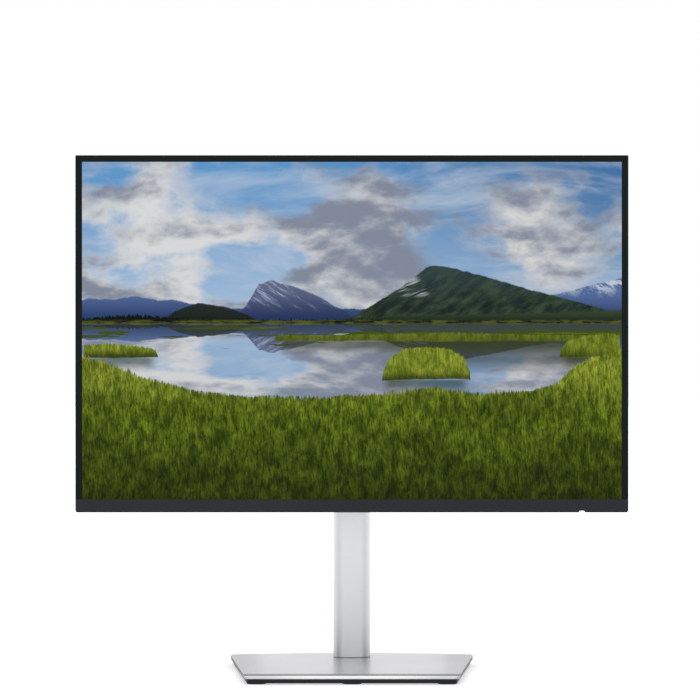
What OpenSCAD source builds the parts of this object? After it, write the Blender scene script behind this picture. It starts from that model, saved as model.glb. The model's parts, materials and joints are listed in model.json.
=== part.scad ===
// Desktop monitor on a height, tilt, swivel and pivot stand.
// Millimetres, +Z up, the screen faces -Y. The origin is on the desk, under the middle of the base.

/* [Screen] */
// Width of the lit picture
active_w = 518.4; // [400:0.1:640]
// Height of the lit picture
active_h = 324; // [270:0.1:400]
// Width of the black bezel at the sides and the top
bezel_w = 6.3; // [5.5:0.1:10]
// Height of the bezel under the picture
chin_h = 12.7; // [11:0.1:20]
// Thickness of the liquid crystal glass
glass_t = 1.4; // [1:0.1:2]
// Thickness of one optical film
film_t = 0.3; // [0.2:0.05:0.4]
// Thickness of the light guide
guide_t = 2.6; // [2:0.1:3]

/* [Housing] */
// Depth from the bezel face to the back of the electronics bay
display_depth = 42; // [38:0.5:48]
// Depth of the thin outer edge of the display
edge_depth = 10; // [10:0.1:13]
// Wall of the plastic housing parts
skin_t = 1.8; // [1.5:0.1:2.2]
// Radius of the lower outer corners
corner_low_r = 2.3; // [1:0.1:6]
// Radius of the upper outer corners
corner_top_r = 1; // [0.5:0.1:6]
// Width of the electronics bay
bay_w = 300; // [280:1:360]
// Height of the bay above the pivot
bay_up = 82; // [76:1:90]
// Depth of the bay below the pivot
bay_down = 88; // [84:1:100]
// How far the bay's walls lean in
bay_lean = 14; // [6:1:16]
// How far the pivot lies above the middle of the display
pivot_rise = 2.5; // [0:0.1:6]
// Spacing of the wall mounting holes
vesa_pitch = 100; // [100:1:110]
// Radius of the tapped hole in each mounting insert
vesa_hole_r = 1.65; // [1.5:0.05:2]
// Outer radius of each mounting insert
insert_r = 3.5; // [3:0.1:4]
// Number of cooling slots along the top of the bay
vent_count = 34; // [10:1:40]
// Width of one cooling slot
vent_w = 2.6; // [1.5:0.1:3.4]

/* [Controls] */
// Distance of the power key from the middle of the display
power_key_x = 236; // [150:1:245]
// Distance of the power light from the middle of the display
power_light_x = 221; // [120:1:222]
// Travel of the power key
power_key_travel = 0.8; // [0.4:0.1:0.8]
// Distance of the joystick from the middle of the display
joystick_x = 215; // [180:1:225]
// Depth of the joystick below the pivot
joystick_down = 140; // [115:1:145]
// Travel of the stand release slider
release_travel = 3; // [2:0.1:3.2]

/* [Tilt and pivot] */
// Distance from the column's face to the tilt axis
arm_reach = 22; // [20:0.5:30]
// Distance from the tilt axis to the back of the display
head_gap = 13; // [13:0.5:18]
// Radius of the tilt shaft
shaft_r = 5; // [4:0.1:5.5]
// Radius of the hub that the display pivots on
pivot_hub_r = 14; // [12:0.5:16]
// Width of the release plate
plate_w = 84; // [70:1:86]
// Height of the release plate
plate_h = 88; // [80:1:90]

/* [Column] */
// Width of the column
column_w = 36.4; // [34:0.1:46]
// Depth of the column
column_d = 37; // [36:0.5:46]
// Top of the column above the desk
column_top = 360; // [360:1:400]
// Distance of the column's face behind the middle of the base
column_face_y = 47; // [30:0.5:50]
// Width of the flat strip on the column's face
strip_w = 16.8; // [16:0.1:20]
// How far the rounded cheeks run back from the strip
cheek_d = 12; // [12:0.5:14]
// Wall of the column covers
cover_t = 1.8; // [1.4:0.1:2]
// Wall of the steel core
core_t = 1.8; // [1.4:0.1:2]

/* [Lift] */
// Height of the pivot above the desk in the modelled pose
pivot_z = 332; // [330:1:344]
// Lowest height of the pivot
pivot_low_z = 194; // [190:1:220]
// Width of the arm that passes through the column
arm_w = 13.2; // [10:0.1:13.2]
// Half the height of that arm
arm_half_h = 11; // [9:0.5:12]
// Outer radius of the wound lift spring
coil_r = 8; // [7:0.1:8]

/* [Base] */
// Depth of the base, front to back
base_d = 180; // [160:1:220]
// Width of the base at its front edge
base_front_w = 202.4; // [160:0.1:240]
// Width of the base at its rear corners
base_rear_w = 242.6; // [200:0.1:300]
// How far the rear edge bows out between the corners
base_bow = 14; // [6:0.5:20]
// Thickness of the rubber feet below the base
foot_h = 1.2; // [1:0.1:3]
// Height of the dark lower layer
under_h = 4.2; // [4:0.1:6]
// Height of the silver upper layer
cover_h = 4.1; // [4.1:0.1:6]
// Depth of the sloping front edge
front_slope = 7; // [3:0.5:12]
// Thickness of the steel weight plate
plate_t = 3; // [2:0.1:3.4]
// Radius of the swivel shaft
swivel_r = 12; // [10:0.5:13]

/* [Fits] */
// Radial running clearance of shafts and hubs
run_fit = 0.05; // [0.02:0.01:0.1]
// Gap beside pieces that slide
slide_gap = 0.2; // [0.1:0.05:0.3]
// Gap between fixed pieces laid together
lay_gap = 0.1; // [0.05:0.01:0.15]
// Gap round pieces that stand in a window
window_gap = 0.4; // [0.2:0.05:0.5]

/* [Hidden] */
$fn = 48;
cut = 0.5;

// Display outline, measured from the pivot
display_w = active_w + 2 * bezel_w;
display_h = active_h + bezel_w + chin_h;
half_w = display_w / 2;
top_z = display_h / 2 - pivot_rise;
low_z = -display_h / 2 - pivot_rise;
active_low_z = low_z + chin_h;
active_top_z = top_z - bezel_w;

// Depths of the display, front to back
tilt_y = column_face_y - arm_reach;
back_y = tilt_y - head_gap;
front_y = back_y - display_depth;
lip_t = 1.1;
wall_t = 1.6;
chin_step = 0.4;
frame_depth = 7;
glass_y = front_y + lip_t + lay_gap;
film_y = glass_y + glass_t + lay_gap;
film_count = 3;
film_step = film_t + lay_gap / 2;
guide_y = film_y + film_count * film_step + lay_gap / 2;
reflector_t = 0.2;
reflector_y = guide_y + guide_t + lay_gap;
tray_t = 0.8;
tray_y = reflector_y + reflector_t + lay_gap;
chassis_t = 1;
chassis_y = tray_y + tray_t + lay_gap;
edge_y = front_y + edge_depth;
frame_end_y = front_y + frame_depth;

// Panel sizes, each inside the one before
frame_in_w = half_w - wall_t;
frame_in_top = top_z - wall_t;
frame_in_low = low_z + wall_t;
panel_w = frame_in_w - 3 * lay_gap;
panel_top = frame_in_top - 3 * lay_gap;
panel_low = active_low_z - 7.7;
panel_wall = 2.2;
guide_w = panel_w - panel_wall - lay_gap;
guide_top = panel_top - panel_wall - lay_gap;
guide_low = active_low_z - 2.7;
glass_half_w = active_w / 2 + 3.2;
glass_low = active_low_z - 3.3;
glass_top = active_top_z + 3.3;

// Electronics bay
inner_back_y = back_y - skin_t;
bay_half_w = bay_w / 2;
board_t = 1.6;
board_gap = 4.3;
board_y = chassis_y + chassis_t + board_gap;
board_face_y = board_y + board_t;
board_in_x = 66;
board_out_x = bay_half_w - 8;
board_low = -bay_down + 10;
board_top = bay_up - 14;
board_hole_in = 5;
screw_r = 1.45;
screw_hole_r = 1.5;
screw_head_r = 2.8;
screw_head_h = 1.6;
standoff_r = 3;

// Release plate and its recess
plate_half_w = plate_w / 2;
plate_half_h = plate_h / 2;
recess_d = 4.6;
recess_y = back_y - recess_d;
plate_y = recess_y + lay_gap;
plate_back_y = back_y + 1;
pocket_d = 1.7;
pocket_y = plate_y + pocket_d;
lip_h = 3;
lip_back_y = plate_y + 2.1;
hook_x = 26;
hook_half_w = 6;
hook_z = plate_half_h - 8;
hook_t = 4;
hook_foot_up = 6;
slider_half_w = 12;
slider_h = 10.8;
slider_top = -plate_half_h - lip_h - slide_gap;
slider_flange = 3;

// Mounting bracket behind the cover
bracket_t = 2;
bracket_y = recess_y - skin_t - lay_gap * 2 - bracket_t;
bracket_half = vesa_pitch / 2 + 12;
leg_t = 1.6;
cover_boss_r = 4;
cover_screw_x = vesa_pitch / 2 + 6;
cover_screw_z = vesa_pitch / 4;

// Tilt hinge
washer_t = 0.5;
washer_y = plate_back_y + lay_gap / 2;
bracket_front_y = washer_y + washer_t + lay_gap / 2;
yoke_t = 3;
yoke_back_y = bracket_front_y + yoke_t;
yoke_half_w = 24;
yoke_half_h = 26;
barrel_r = shaft_r + 2.8;
barrel_half_w = 14.2;
ear_t = 4;
ear_x = barrel_half_w + 2 * slide_gap;
ear_r = shaft_r + 3;
disc_t = 0.8;
disc_count = 4;
disc_step = disc_t + slide_gap;
disc_x = ear_x + ear_t + slide_gap;
nut_x = disc_x + disc_count * disc_step;
nut_t = 3.6;
nut_r = shaft_r + 2.5;
shaft_half = nut_x + nut_t + 0.6;
cap_r = ear_r + 2.5;
cap_t = 1.2;
retainer_r = pivot_hub_r + 4;
retainer_t = 1.1;
retainer_y = pocket_y - slide_gap - retainer_t;
pivot_screw_ring = pivot_hub_r - 5;

// Column
column_half = column_w / 2;
column_mid_y = column_face_y + column_d / 2;
column_back_y = column_face_y + column_d;
column_split_y = column_face_y + 23;
cheek_rx = column_half - strip_w / 2;
rear_corner_r = 5;
core_half = column_half - cover_t - 1.6;
cheek_drop = cheek_d * (1 - sqrt(1 - pow((core_half - strip_w / 2) / cheek_rx, 2)));
core_front_y = column_face_y + cover_t + cheek_drop + 1.9;
core_back_y = column_back_y - cover_t - 0.6;
core_in_half = core_half - core_t;
core_in_front_y = core_front_y + core_t;
core_in_back_y = core_back_y - core_t;
cap_plate_t = 3;
core_top = column_top - cap_plate_t - 1;
arm_half = arm_w / 2;
slot_half = arm_half + 2 * slide_gap;
slot_low = pivot_low_z - arm_half_h - 1;

// Lift carriage and spring
carriage_down = 40;
carriage_y = core_in_front_y + 2 * slide_gap;
carriage_t = 5.4;
carriage_back_y = carriage_y + carriage_t;
glide_t = 1;
carriage_half = core_in_half - slide_gap - glide_t - lay_gap / 2;
stop_h = 6;
stop_top = pivot_low_z - carriage_down - 1.2;
drum_flange_r = coil_r + 0.4;
drum_y = core_in_back_y - drum_flange_r - 0.5;
drum_z = core_top - drum_flange_r - 2.6;
drum_core_r = 5;
drum_half = 7;
axle_r = 2;
band_half = 6;
band_t = 0.3;
band_y = drum_y - coil_r - band_t - lay_gap / 2;
anchor_h = 6;

// Base heights
under_z = foot_h;
cover_z = under_z + under_h;
base_top = cover_z + cover_h;
floor_t = 1.5;
top_t = 1.5;
solid_front_y = -base_d / 2 + front_slope + 2;
base_half_d = base_d / 2;
plate_z = under_z + floor_t + 0.9;
plate_top_z = plate_z + plate_t;
swivel_y = column_mid_y;
shoulder_r = 17;
swivel_washer_t = 0.5;
shoulder_z = plate_top_z + swivel_washer_t + lay_gap;
column_foot_z = base_top + 0.3;
foot_block_top = column_foot_z + 20;
retainer_disc_t = 1;
retainer_disc_z = plate_z - swivel_washer_t - lay_gap - retainer_disc_t;
stop_pin_r = 1.6;
stop_pin_ring = 15;
swivel_stop_angle = 45;
foot_half_l = 9;
foot_half_w = 4.5;
front_foot_y = -base_half_d + 9;
rear_foot_y = base_half_d - base_bow - 12;
front_foot_x = base_front_w / 2 - 11.4;
rear_foot_x = base_rear_w / 2 - 24;
post_r = 5;
base_corner_r = 6;
base_posts = [
    [-base_front_w / 2 + 22, -base_half_d + 22], [base_front_w / 2 - 22, -base_half_d + 22],
    [-base_rear_w / 2 + 30, 18], [base_rear_w / 2 - 30, 18],
    [-base_rear_w / 2 + 46, base_half_d - base_bow - 16],
    [base_rear_w / 2 - 46, base_half_d - base_bow - 16]
];

// Joystick
stick_y = edge_y + 3.8;
stick_z = -joystick_down;
pod_half_w = 20;
pod_half_h = 15;
pod_back_y = edge_y + 12;
pod_hole_r = 5.5;
key_board_t = 1.2;
key_board_y = chassis_y + 0.4;
pin_r = 0.7;
ring_r = 6.2;
ring_in_r = 4.6;

// Points along an arc of an ellipse
function arc(cx, cy, rx, ry, a0, a1, n) =
    [for (i = [0:n]) let (a = a0 + (a1 - a0) * i / n) [cx + rx * cos(a), cy + ry * sin(a)]];

// A rectangle whose lower and upper corners have their own radii
function rect_outline(x0, x1, z0, z1, r_low, r_top) = concat(
    arc(x1 - r_low, z0 + r_low, r_low, r_low, -90, 0, 6),
    arc(x1 - r_top, z1 - r_top, r_top, r_top, 0, 90, 6),
    arc(x0 + r_top, z1 - r_top, r_top, r_top, 90, 180, 6),
    arc(x0 + r_low, z0 + r_low, r_low, r_low, 180, 270, 6));

// One corner of an outline, passed anticlockwise, rounded with radius r
function corner(before, at, after, r, n) = let (
    u = (before - at) / norm(before - at),
    v = (after - at) / norm(after - at),
    half = acos(u * v) / 2,
    centre = at + (u + v) / norm(u + v) * r / sin(half),
    start = at + u * r / tan(half) - centre,
    a0 = atan2(start[1], start[0]),
    turn = 180 - 2 * half)
    [for (i = [0:n]) centre + r * [cos(a0 + turn * i / n), sin(a0 + turn * i / n)]];

// Plan of the base, drawn in by d all round
function base_outline(d) = let (
    front = -base_half_d + d,
    back = base_half_d - base_bow - d,
    hf = base_front_w / 2 - d,
    hr = base_rear_w / 2 - d,
    bow_r = (hr * hr + base_bow * base_bow) / (2 * base_bow),
    span = asin(hr / bow_r))
    concat(
        corner([-hf, front], [hf, front], [hr, back], base_corner_r, 8),
        corner([hf, front], [hr, back], [hr - 12, back + 2.5], base_corner_r, 8),
        arc(0, back + base_bow - bow_r, bow_r, bow_r, 90 - span * 0.9, 90 + span * 0.9, 20),
        corner([-hr + 12, back + 2.5], [-hr, back], [-hf, front], base_corner_r, 8),
        corner([-hr, back], [-hf, front], [hf, front], base_corner_r, 8));

// Plan of the column, drawn in by d all round
function column_outline(d) = let (
    hs = strip_w / 2,
    hw = column_half - d,
    face = column_face_y + d,
    cheek_y = column_face_y + cheek_d,
    back = column_back_y - d,
    r = rear_corner_r - d)
    concat(
        arc(hs, cheek_y, hw - hs, cheek_d - d, -90, 0, 10),
        arc(hw - r, back - r, r, r, 0, 90, 6),
        arc(-hw + r, back - r, r, r, 90, 180, 6),
        arc(-hs, cheek_y, hw - hs, cheek_d - d, 180, 270, 10));

// A box from its low corner to its high corner
module block(low, high) translate(low) cube(high - low);

// Round bars along the three axes
module bar_x(y, z, x0, x1, r) translate([x0, y, z]) rotate([0, 90, 0]) cylinder(h = x1 - x0, r = r);
module bar_y(x, z, y0, y1, r) translate([x, y0, z]) rotate([-90, 0, 0]) cylinder(h = y1 - y0, r = r);
module bar_z(x, y, z0, z1, r) translate([x, y, z0]) cylinder(h = z1 - z0, r = r);

// An outline in x and z, standing between two depths
module upright(y0, y1) translate([0, y1, 0]) rotate([90, 0, 0]) linear_extrude(y1 - y0) children();

// A plan outline between two heights
module flat(z0, z1, points) translate([0, 0, z0]) linear_extrude(z1 - z0) polygon(points);

module both_sides() {
    children();
    mirror([1, 0, 0]) children();
}

// Pieces of the display are drawn round the pivot and lifted to its height
module at_head() translate([0, 0, pivot_z]) children();

// A screw whose head faces the front (-Y) or the back (+Y)
module screw_back(x, z, head_y, length) {
    difference() {
        bar_y(x, z, head_y, head_y + screw_head_h, screw_head_r);
        for (a = [0, 90])
            translate([x, head_y + screw_head_h, z]) rotate([0, a, 0])
                cube([3, 1.4, 0.7], center = true);
    }
    bar_y(x, z, head_y - length, head_y, screw_r);
}

// A ring standing round an axis along Y, Z or X
module ring_y(y0, y1, r_out, r_in) difference() {
    bar_y(0, 0, y0, y1, r_out);
    bar_y(0, 0, y0 - cut, y1 + cut, r_in);
}

// ---- Base ----

module base_top_cover() color([0.78, 0.79, 0.80]) difference() {
    flat(cover_z, base_top, base_outline(0));
    difference() {
        flat(cover_z - cut, base_top - top_t, base_outline(2.2));
        block([-base_rear_w, -base_half_d - 1, 0], [base_rear_w, solid_front_y, base_top]);
        for (p = base_posts) bar_z(p[0], p[1], plate_top_z + lay_gap, base_top, post_r);
    }
    translate([-base_rear_w, -base_half_d, 0]) rotate([90, 0, 90])
        linear_extrude(2 * base_rear_w)
            polygon([[-1, cover_z], [0, cover_z + 0.6], [front_slope * 0.35, base_top - 1.2],
                [front_slope, base_top], [front_slope, base_top + 1], [-1, base_top + 1]]);
    bar_z(0, swivel_y, cover_z, base_top + cut, shoulder_r + window_gap);
}

module base_underside() color([0.05, 0.05, 0.055]) difference() {
    union() {
        difference() {
            flat(under_z, cover_z - lay_gap, base_outline(2.5));
            flat(under_z + floor_t, cover_z, base_outline(4.5));
        }
        for (p = base_posts) bar_z(p[0], p[1], under_z, plate_z - lay_gap / 2, post_r);
    }
    bar_z(0, swivel_y, 0, cover_z, shoulder_r + 2);
    for (p = base_posts) {
        bar_z(p[0], p[1], 0, cover_z, screw_hole_r);
        bar_z(p[0], p[1], 0, under_z + 1.1, screw_head_r + slide_gap);
    }
    for (f = foot_places()) translate([f[0], f[1], 0]) foot_shape(under_z + 0.7, lay_gap);
}

module base_plate() color([0.42, 0.43, 0.45]) difference() {
    flat(plate_z, plate_top_z, base_outline(5.5));
    block([-base_rear_w, -base_half_d, 0], [base_rear_w, solid_front_y + 0.5, base_top]);
    bar_z(0, swivel_y, plate_z - cut, plate_top_z + cut, swivel_r + run_fit);
    translate([0, swivel_y, plate_z - cut])
        rotate([0, 0, -90 - swivel_stop_angle])
            rotate_extrude(angle = 2 * swivel_stop_angle)
                translate([stop_pin_ring - stop_pin_r - slide_gap, 0])
                    square([2 * (stop_pin_r + slide_gap), plate_t + 2 * cut]);
    for (a = [-1, 1]) rotate_about_swivel(-90 + a * swivel_stop_angle)
        bar_z(stop_pin_ring, 0, plate_z - cut, plate_top_z + cut, stop_pin_r + slide_gap);
    for (p = base_posts) bar_z(p[0], p[1], plate_z - cut, plate_top_z + cut, screw_hole_r);
}

module rotate_about_swivel(angle) translate([0, swivel_y, 0]) rotate([0, 0, angle]) children();

// Middles of the five feet
function foot_places() = [
    [-front_foot_x, front_foot_y], [0, front_foot_y], [front_foot_x, front_foot_y],
    [-rear_foot_x, rear_foot_y], [rear_foot_x, rear_foot_y]];

module foot_shape(h, grow) {
    straight = foot_half_l - foot_half_w;
    for (s = [-1, 1]) bar_z(s * straight, 0, 0, h, foot_half_w + grow);
    block([-straight, -foot_half_w - grow, 0], [straight, foot_half_w + grow, h]);
}

module rubber_feet() color([0.03, 0.03, 0.03])
    for (f = foot_places()) translate([f[0], f[1], 0]) foot_shape(under_z + 0.6, 0);

module base_screws() color([0.6, 0.6, 0.62])
    for (p = base_posts) {
        bar_z(p[0], p[1], under_z + 0.2, under_z + 1.05, screw_head_r);
        bar_z(p[0], p[1], under_z + 1.05, plate_top_z - 0.2, screw_r);
    }

module swivel_ring(z0, t, r_out) difference() {
    bar_z(0, swivel_y, z0, z0 + t, r_out);
    bar_z(0, swivel_y, z0 - cut, z0 + t + cut, swivel_r + 0.2);
}

module swivel_washers() color([0.9, 0.9, 0.86]) {
    difference() {
        swivel_ring(plate_top_z, swivel_washer_t, shoulder_r);
        rotate_about_swivel(-90) stop_path(plate_top_z - cut, plate_top_z + swivel_washer_t + cut);
    }
    difference() {
        swivel_ring(plate_z - swivel_washer_t, swivel_washer_t, shoulder_r);
        rotate_about_swivel(-90) stop_path(plate_z - 1, plate_z + cut);
    }
}

// The sweep of the stop pin, cut out of the washers
module stop_path(z0, z1) translate([0, 0, z0]) rotate([0, 0, -swivel_stop_angle - 14])
    rotate_extrude(angle = 2 * swivel_stop_angle + 28)
        translate([stop_pin_ring - stop_pin_r - 0.4, 0]) square([6, z1 - z0]);

// ---- Swivel and column ----

module swivel_hub() color([0.5, 0.5, 0.52]) difference() {
    union() {
        bar_z(0, swivel_y, retainer_disc_z + retainer_disc_t, shoulder_z + 1, swivel_r);
        bar_z(0, swivel_y, shoulder_z, column_foot_z, shoulder_r);
        flat(column_foot_z, column_foot_z + 3, column_outline(cover_t + 0.4));
        block([-core_in_half + lay_gap, core_in_front_y + lay_gap, column_foot_z],
            [core_in_half - lay_gap, core_in_back_y - lay_gap, foot_block_top]);
        rotate_about_swivel(-90) bar_z(stop_pin_ring, 0, plate_z + 0.3, shoulder_z + 1, stop_pin_r);
    }
    for (a = [90, 210, 330]) rotate_about_swivel(a)
        bar_z(swivel_r / 2, 0, 0, column_foot_z, screw_hole_r);
}

module swivel_retainer() color([0.6, 0.6, 0.62]) difference() {
    bar_z(0, swivel_y, retainer_disc_z, retainer_disc_z + retainer_disc_t, shoulder_r - 1);
    for (a = [90, 210, 330]) rotate_about_swivel(a)
        bar_z(swivel_r / 2, 0, 0, column_foot_z, screw_hole_r + 0.1);
}

module swivel_screws() color([0.3, 0.3, 0.32])
    for (a = [90, 210, 330]) rotate_about_swivel(a) {
        bar_z(swivel_r / 2, 0, retainer_disc_z - 0.8, retainer_disc_z, screw_head_r);
        bar_z(swivel_r / 2, 0, retainer_disc_z, column_foot_z - 0.6, screw_r);
    }

module column_core() color([0.55, 0.56, 0.58]) difference() {
    block([-core_half, core_front_y, column_foot_z + 3.1], [core_half, core_back_y, core_top]);
    block([-core_in_half, core_in_front_y, 0], [core_in_half, core_in_back_y, core_top + cut]);
    block([-slot_half, core_front_y - cut, slot_low],
        [slot_half, core_in_front_y + cut, core_top + cut]);
    bar_x(drum_y, drum_z, -core_half - cut, core_half + cut, axle_r + run_fit);
}

module column_front_cover() color([0.74, 0.75, 0.76]) difference() {
    flat(column_foot_z, column_top - cap_plate_t - lay_gap, column_outline(0));
    flat(column_foot_z - cut, column_top, column_outline(cover_t));
    block([-column_w, column_split_y, 0], [column_w, column_back_y + 1, column_top]);
    block([-slot_half, column_face_y - 1, slot_low],
        [slot_half, column_face_y + cover_t + 1, column_top]);
}

module column_rear_cover() color([0.74, 0.75, 0.76]) difference() {
    flat(column_foot_z, column_top - cap_plate_t - lay_gap, column_outline(0));
    flat(column_foot_z - cut, column_top, column_outline(cover_t));
    block([-column_w, column_face_y - 1, 0], [column_w, column_split_y + lay_gap, column_top]);
}

module column_top_cap() color([0.7, 0.71, 0.72]) {
    flat(column_top - cap_plate_t, column_top, column_outline(0));
    difference() {
        block([-core_in_half + 0.3, drum_y, core_top - 2], [core_in_half - 0.3, core_in_back_y - 0.3,
            column_top - 1]);
        block([-core_in_half + 2, drum_y - 1, core_top - 3], [core_in_half - 2, core_in_back_y - 2,
            column_top - cap_plate_t]);
    }
}

module lift_stop() color([0.15, 0.15, 0.16])
    block([-core_in_half + lay_gap, core_in_front_y + lay_gap, stop_top - stop_h],
        [core_in_half - lay_gap, core_in_back_y - lay_gap, stop_top]);

module drum_axle() color([0.7, 0.7, 0.72])
    bar_x(drum_y, drum_z, -core_half + 0.2, core_half - 0.2, axle_r);

module spring_drum() color([0.85, 0.85, 0.8]) difference() {
    union() {
        bar_x(drum_y, drum_z, -drum_half - 1, drum_half + 1, drum_core_r);
        both_sides() bar_x(drum_y, drum_z, drum_half, drum_half + 1, drum_flange_r);
    }
    bar_x(drum_y, drum_z, -core_half, core_half, axle_r + run_fit);
    for (a = [0:60:300]) translate([0, drum_y, drum_z]) rotate([a, 0, 0])
        bar_x(3.6, 0, -core_half, core_half, 0.7);
}

module spring_coil() color([0.45, 0.46, 0.5]) difference() {
    bar_x(drum_y, drum_z, -band_half, band_half, coil_r);
    bar_x(drum_y, drum_z, -core_half, core_half, drum_core_r + 0.03);
}

module spring_band() color([0.45, 0.46, 0.5])
    block([-band_half, band_y, pivot_z - carriage_down + 1], [band_half, band_y + band_t, drum_z]);

// ---- Lift carriage and tilt hinge ----

module lift_carriage() color([0.36, 0.37, 0.39]) at_head() difference() {
    union() {
        bar_x(tilt_y, 0, -barrel_half_w, barrel_half_w, barrel_r);
        block([-arm_half, tilt_y, -barrel_r + 1], [arm_half, carriage_y + 1, barrel_r - 1]);
        block([-arm_half, tilt_y + barrel_r + 2, -arm_half_h], [arm_half, carriage_y + 1, arm_half_h]);
        block([-carriage_half, carriage_y, -carriage_down],
            [carriage_half, carriage_back_y, arm_half_h]);
        block([-band_half, carriage_y + 1, -carriage_down],
            [band_half, band_y - lay_gap / 2, -carriage_down + anchor_h]);
    }
    bar_x(tilt_y, 0, -barrel_half_w - cut, barrel_half_w + cut, shaft_r + 0.01);
}

module carriage_glides() color([0.92, 0.92, 0.9]) at_head() both_sides()
    for (z = [-carriage_down + 2, -5])
        block([carriage_half + lay_gap / 2, carriage_y - slide_gap, z],
            [carriage_half + lay_gap / 2 + glide_t, carriage_back_y, z + 14]);

module tilt_shaft() color([0.62, 0.63, 0.65]) at_head()
    bar_x(tilt_y, 0, -shaft_half, shaft_half, shaft_r);

module friction_discs() color([0.5, 0.48, 0.42]) at_head() both_sides()
    for (i = [0:disc_count - 1]) difference() {
        bar_x(tilt_y, 0, disc_x + i * disc_step, disc_x + i * disc_step + disc_t, ear_r);
        bar_x(tilt_y, 0, 0, shaft_half, shaft_r + run_fit);
    }

module tilt_nuts() color([0.7, 0.7, 0.72]) at_head() both_sides() difference() {
    translate([nut_x, tilt_y, 0]) rotate([0, 90, 0]) cylinder(h = nut_t, r = nut_r, $fn = 6);
    bar_x(tilt_y, 0, 0, shaft_half + 1, shaft_r + 0.01);
}

module tilt_bracket() color([0.3, 0.31, 0.33]) at_head() difference() {
    union() {
        block([-yoke_half_w, bracket_front_y, -yoke_half_h], [yoke_half_w, yoke_back_y, yoke_half_h]);
        bar_y(0, 0, retainer_y + retainer_t + 0.02, yoke_back_y, pivot_hub_r);
        both_sides() {
            block([ear_x, yoke_back_y - 1, -ear_r], [ear_x + ear_t, tilt_y, ear_r]);
            bar_x(tilt_y, 0, ear_x, ear_x + ear_t, ear_r);
        }
    }
    both_sides() bar_x(tilt_y, 0, ear_x - cut, ear_x + ear_t + cut, shaft_r + run_fit);
    for (a = [90, 210, 330]) rotate([0, a, 0])
        bar_y(pivot_screw_ring, 0, retainer_y, yoke_back_y - 1, screw_hole_r);
}

module hinge_covers() color([0.12, 0.12, 0.13]) at_head() both_sides() difference() {
    bar_x(tilt_y, 0, ear_x + ear_t + 0.1, shaft_half + 0.4 + cap_t, cap_r);
    bar_x(tilt_y, 0, ear_x + ear_t, shaft_half + 0.4, cap_r - cap_t);
    block([0, 0, -cap_r - 1], [shaft_half + 5, yoke_back_y + lay_gap, cap_r + 1]);
}

module pivot_retainer() color([0.6, 0.6, 0.62]) at_head() difference() {
    bar_y(0, 0, retainer_y, retainer_y + retainer_t, retainer_r);
    for (a = [90, 210, 330]) rotate([0, a, 0]) {
        bar_y(pivot_screw_ring, 0, retainer_y - 1, yoke_back_y, screw_hole_r + 0.1);
        bar_y(pivot_screw_ring, 0, retainer_y - 1, retainer_y + 0.6, screw_head_r + 0.1);
    }
}

module pivot_screws() color([0.3, 0.3, 0.32]) at_head()
    for (a = [90, 210, 330]) rotate([0, a, 0]) {
        bar_y(pivot_screw_ring, 0, retainer_y + 0.05, retainer_y + 0.6, screw_head_r);
        bar_y(pivot_screw_ring, 0, retainer_y + 0.6, yoke_back_y - 1.5, screw_r);
    }

module pivot_washer() color([0.9, 0.9, 0.86]) at_head()
    ring_y(washer_y, washer_y + washer_t, pivot_hub_r + 8, pivot_hub_r + 0.3);

// ---- Release plate and slider ----

module quick_release_plate() color([0.24, 0.25, 0.27]) at_head() difference() {
    union() {
        block([-plate_half_w, plate_y, -plate_half_h], [plate_half_w, plate_back_y, plate_half_h]);
        block([-plate_half_w + 6, plate_y, -plate_half_h - lip_h], [plate_half_w - 6, lip_back_y,
            -plate_half_h + 1]);
        both_sides() translate([hook_x, 0, hook_z]) {
            block([-hook_half_w, bracket_y - 0.3 - bracket_t, 0], [hook_half_w, plate_y + 1, hook_t]);
            block([-hook_half_w, bracket_y - 0.3 - bracket_t, 0],
                [hook_half_w, bracket_y - 0.3, hook_t + hook_foot_up]);
        }
    }
    bar_y(0, 0, plate_y - cut, pocket_y, retainer_r + 1);
    bar_y(0, 0, plate_y - cut, plate_back_y + cut, pivot_hub_r + run_fit);
}

module release_slider() color([0.1, 0.1, 0.11]) at_head() {
    block([-slider_half_w, lip_back_y, slider_top - slider_h], [slider_half_w, back_y + 2, slider_top]);
    block([-slider_half_w + 4, lip_back_y + 0.3, slider_top - 1],
        [slider_half_w - 4, plate_back_y - 0.2, -plate_half_h - 2 * slide_gap]);
    block([-slider_half_w - slider_flange, lip_back_y - 2, slider_top - slider_h + 1],
        [slider_half_w + slider_flange, inner_back_y - slide_gap - 0.2, slider_top - slide_gap - 2.6]);
}

// Coil spring drawn as a swept ring section
spring_r = 1.7;
wire_r = 0.28;
spring_turns = 4;
spring_low = slider_top - slider_h - 7;
spring_high = slider_top - slider_h + 1 - wire_r - 0.1;
spring_mid_y = inner_back_y - 2.4;
function spring_rings(n, sides) = [for (i = [0:n]) for (j = [0:sides - 1])
    let (a = 360 * spring_turns * i / n, b = 360 * j / sides, r = spring_r + wire_r * cos(b))
    [r * cos(a), spring_mid_y + r * sin(a),
        spring_low + wire_r + (spring_high - spring_low - wire_r) * i / n + wire_r * sin(b)]];
function spring_faces(n, sides) = concat(
    [[for (j = [0:sides - 1]) j]],
    [for (i = [0:n - 1]) for (j = [0:sides - 1])
        [i * sides + j, (i + 1) * sides + j, (i + 1) * sides + (j + 1) % sides,
            i * sides + (j + 1) % sides]],
    [[for (j = [sides - 1:-1:0]) n * sides + j]]);

module release_spring() color([0.7, 0.7, 0.72]) at_head()
    polyhedron(points = spring_rings(spring_turns * 14, 6), faces = spring_faces(spring_turns * 14, 6),
        convexity = 6);

// ---- Back of the display ----

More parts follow.
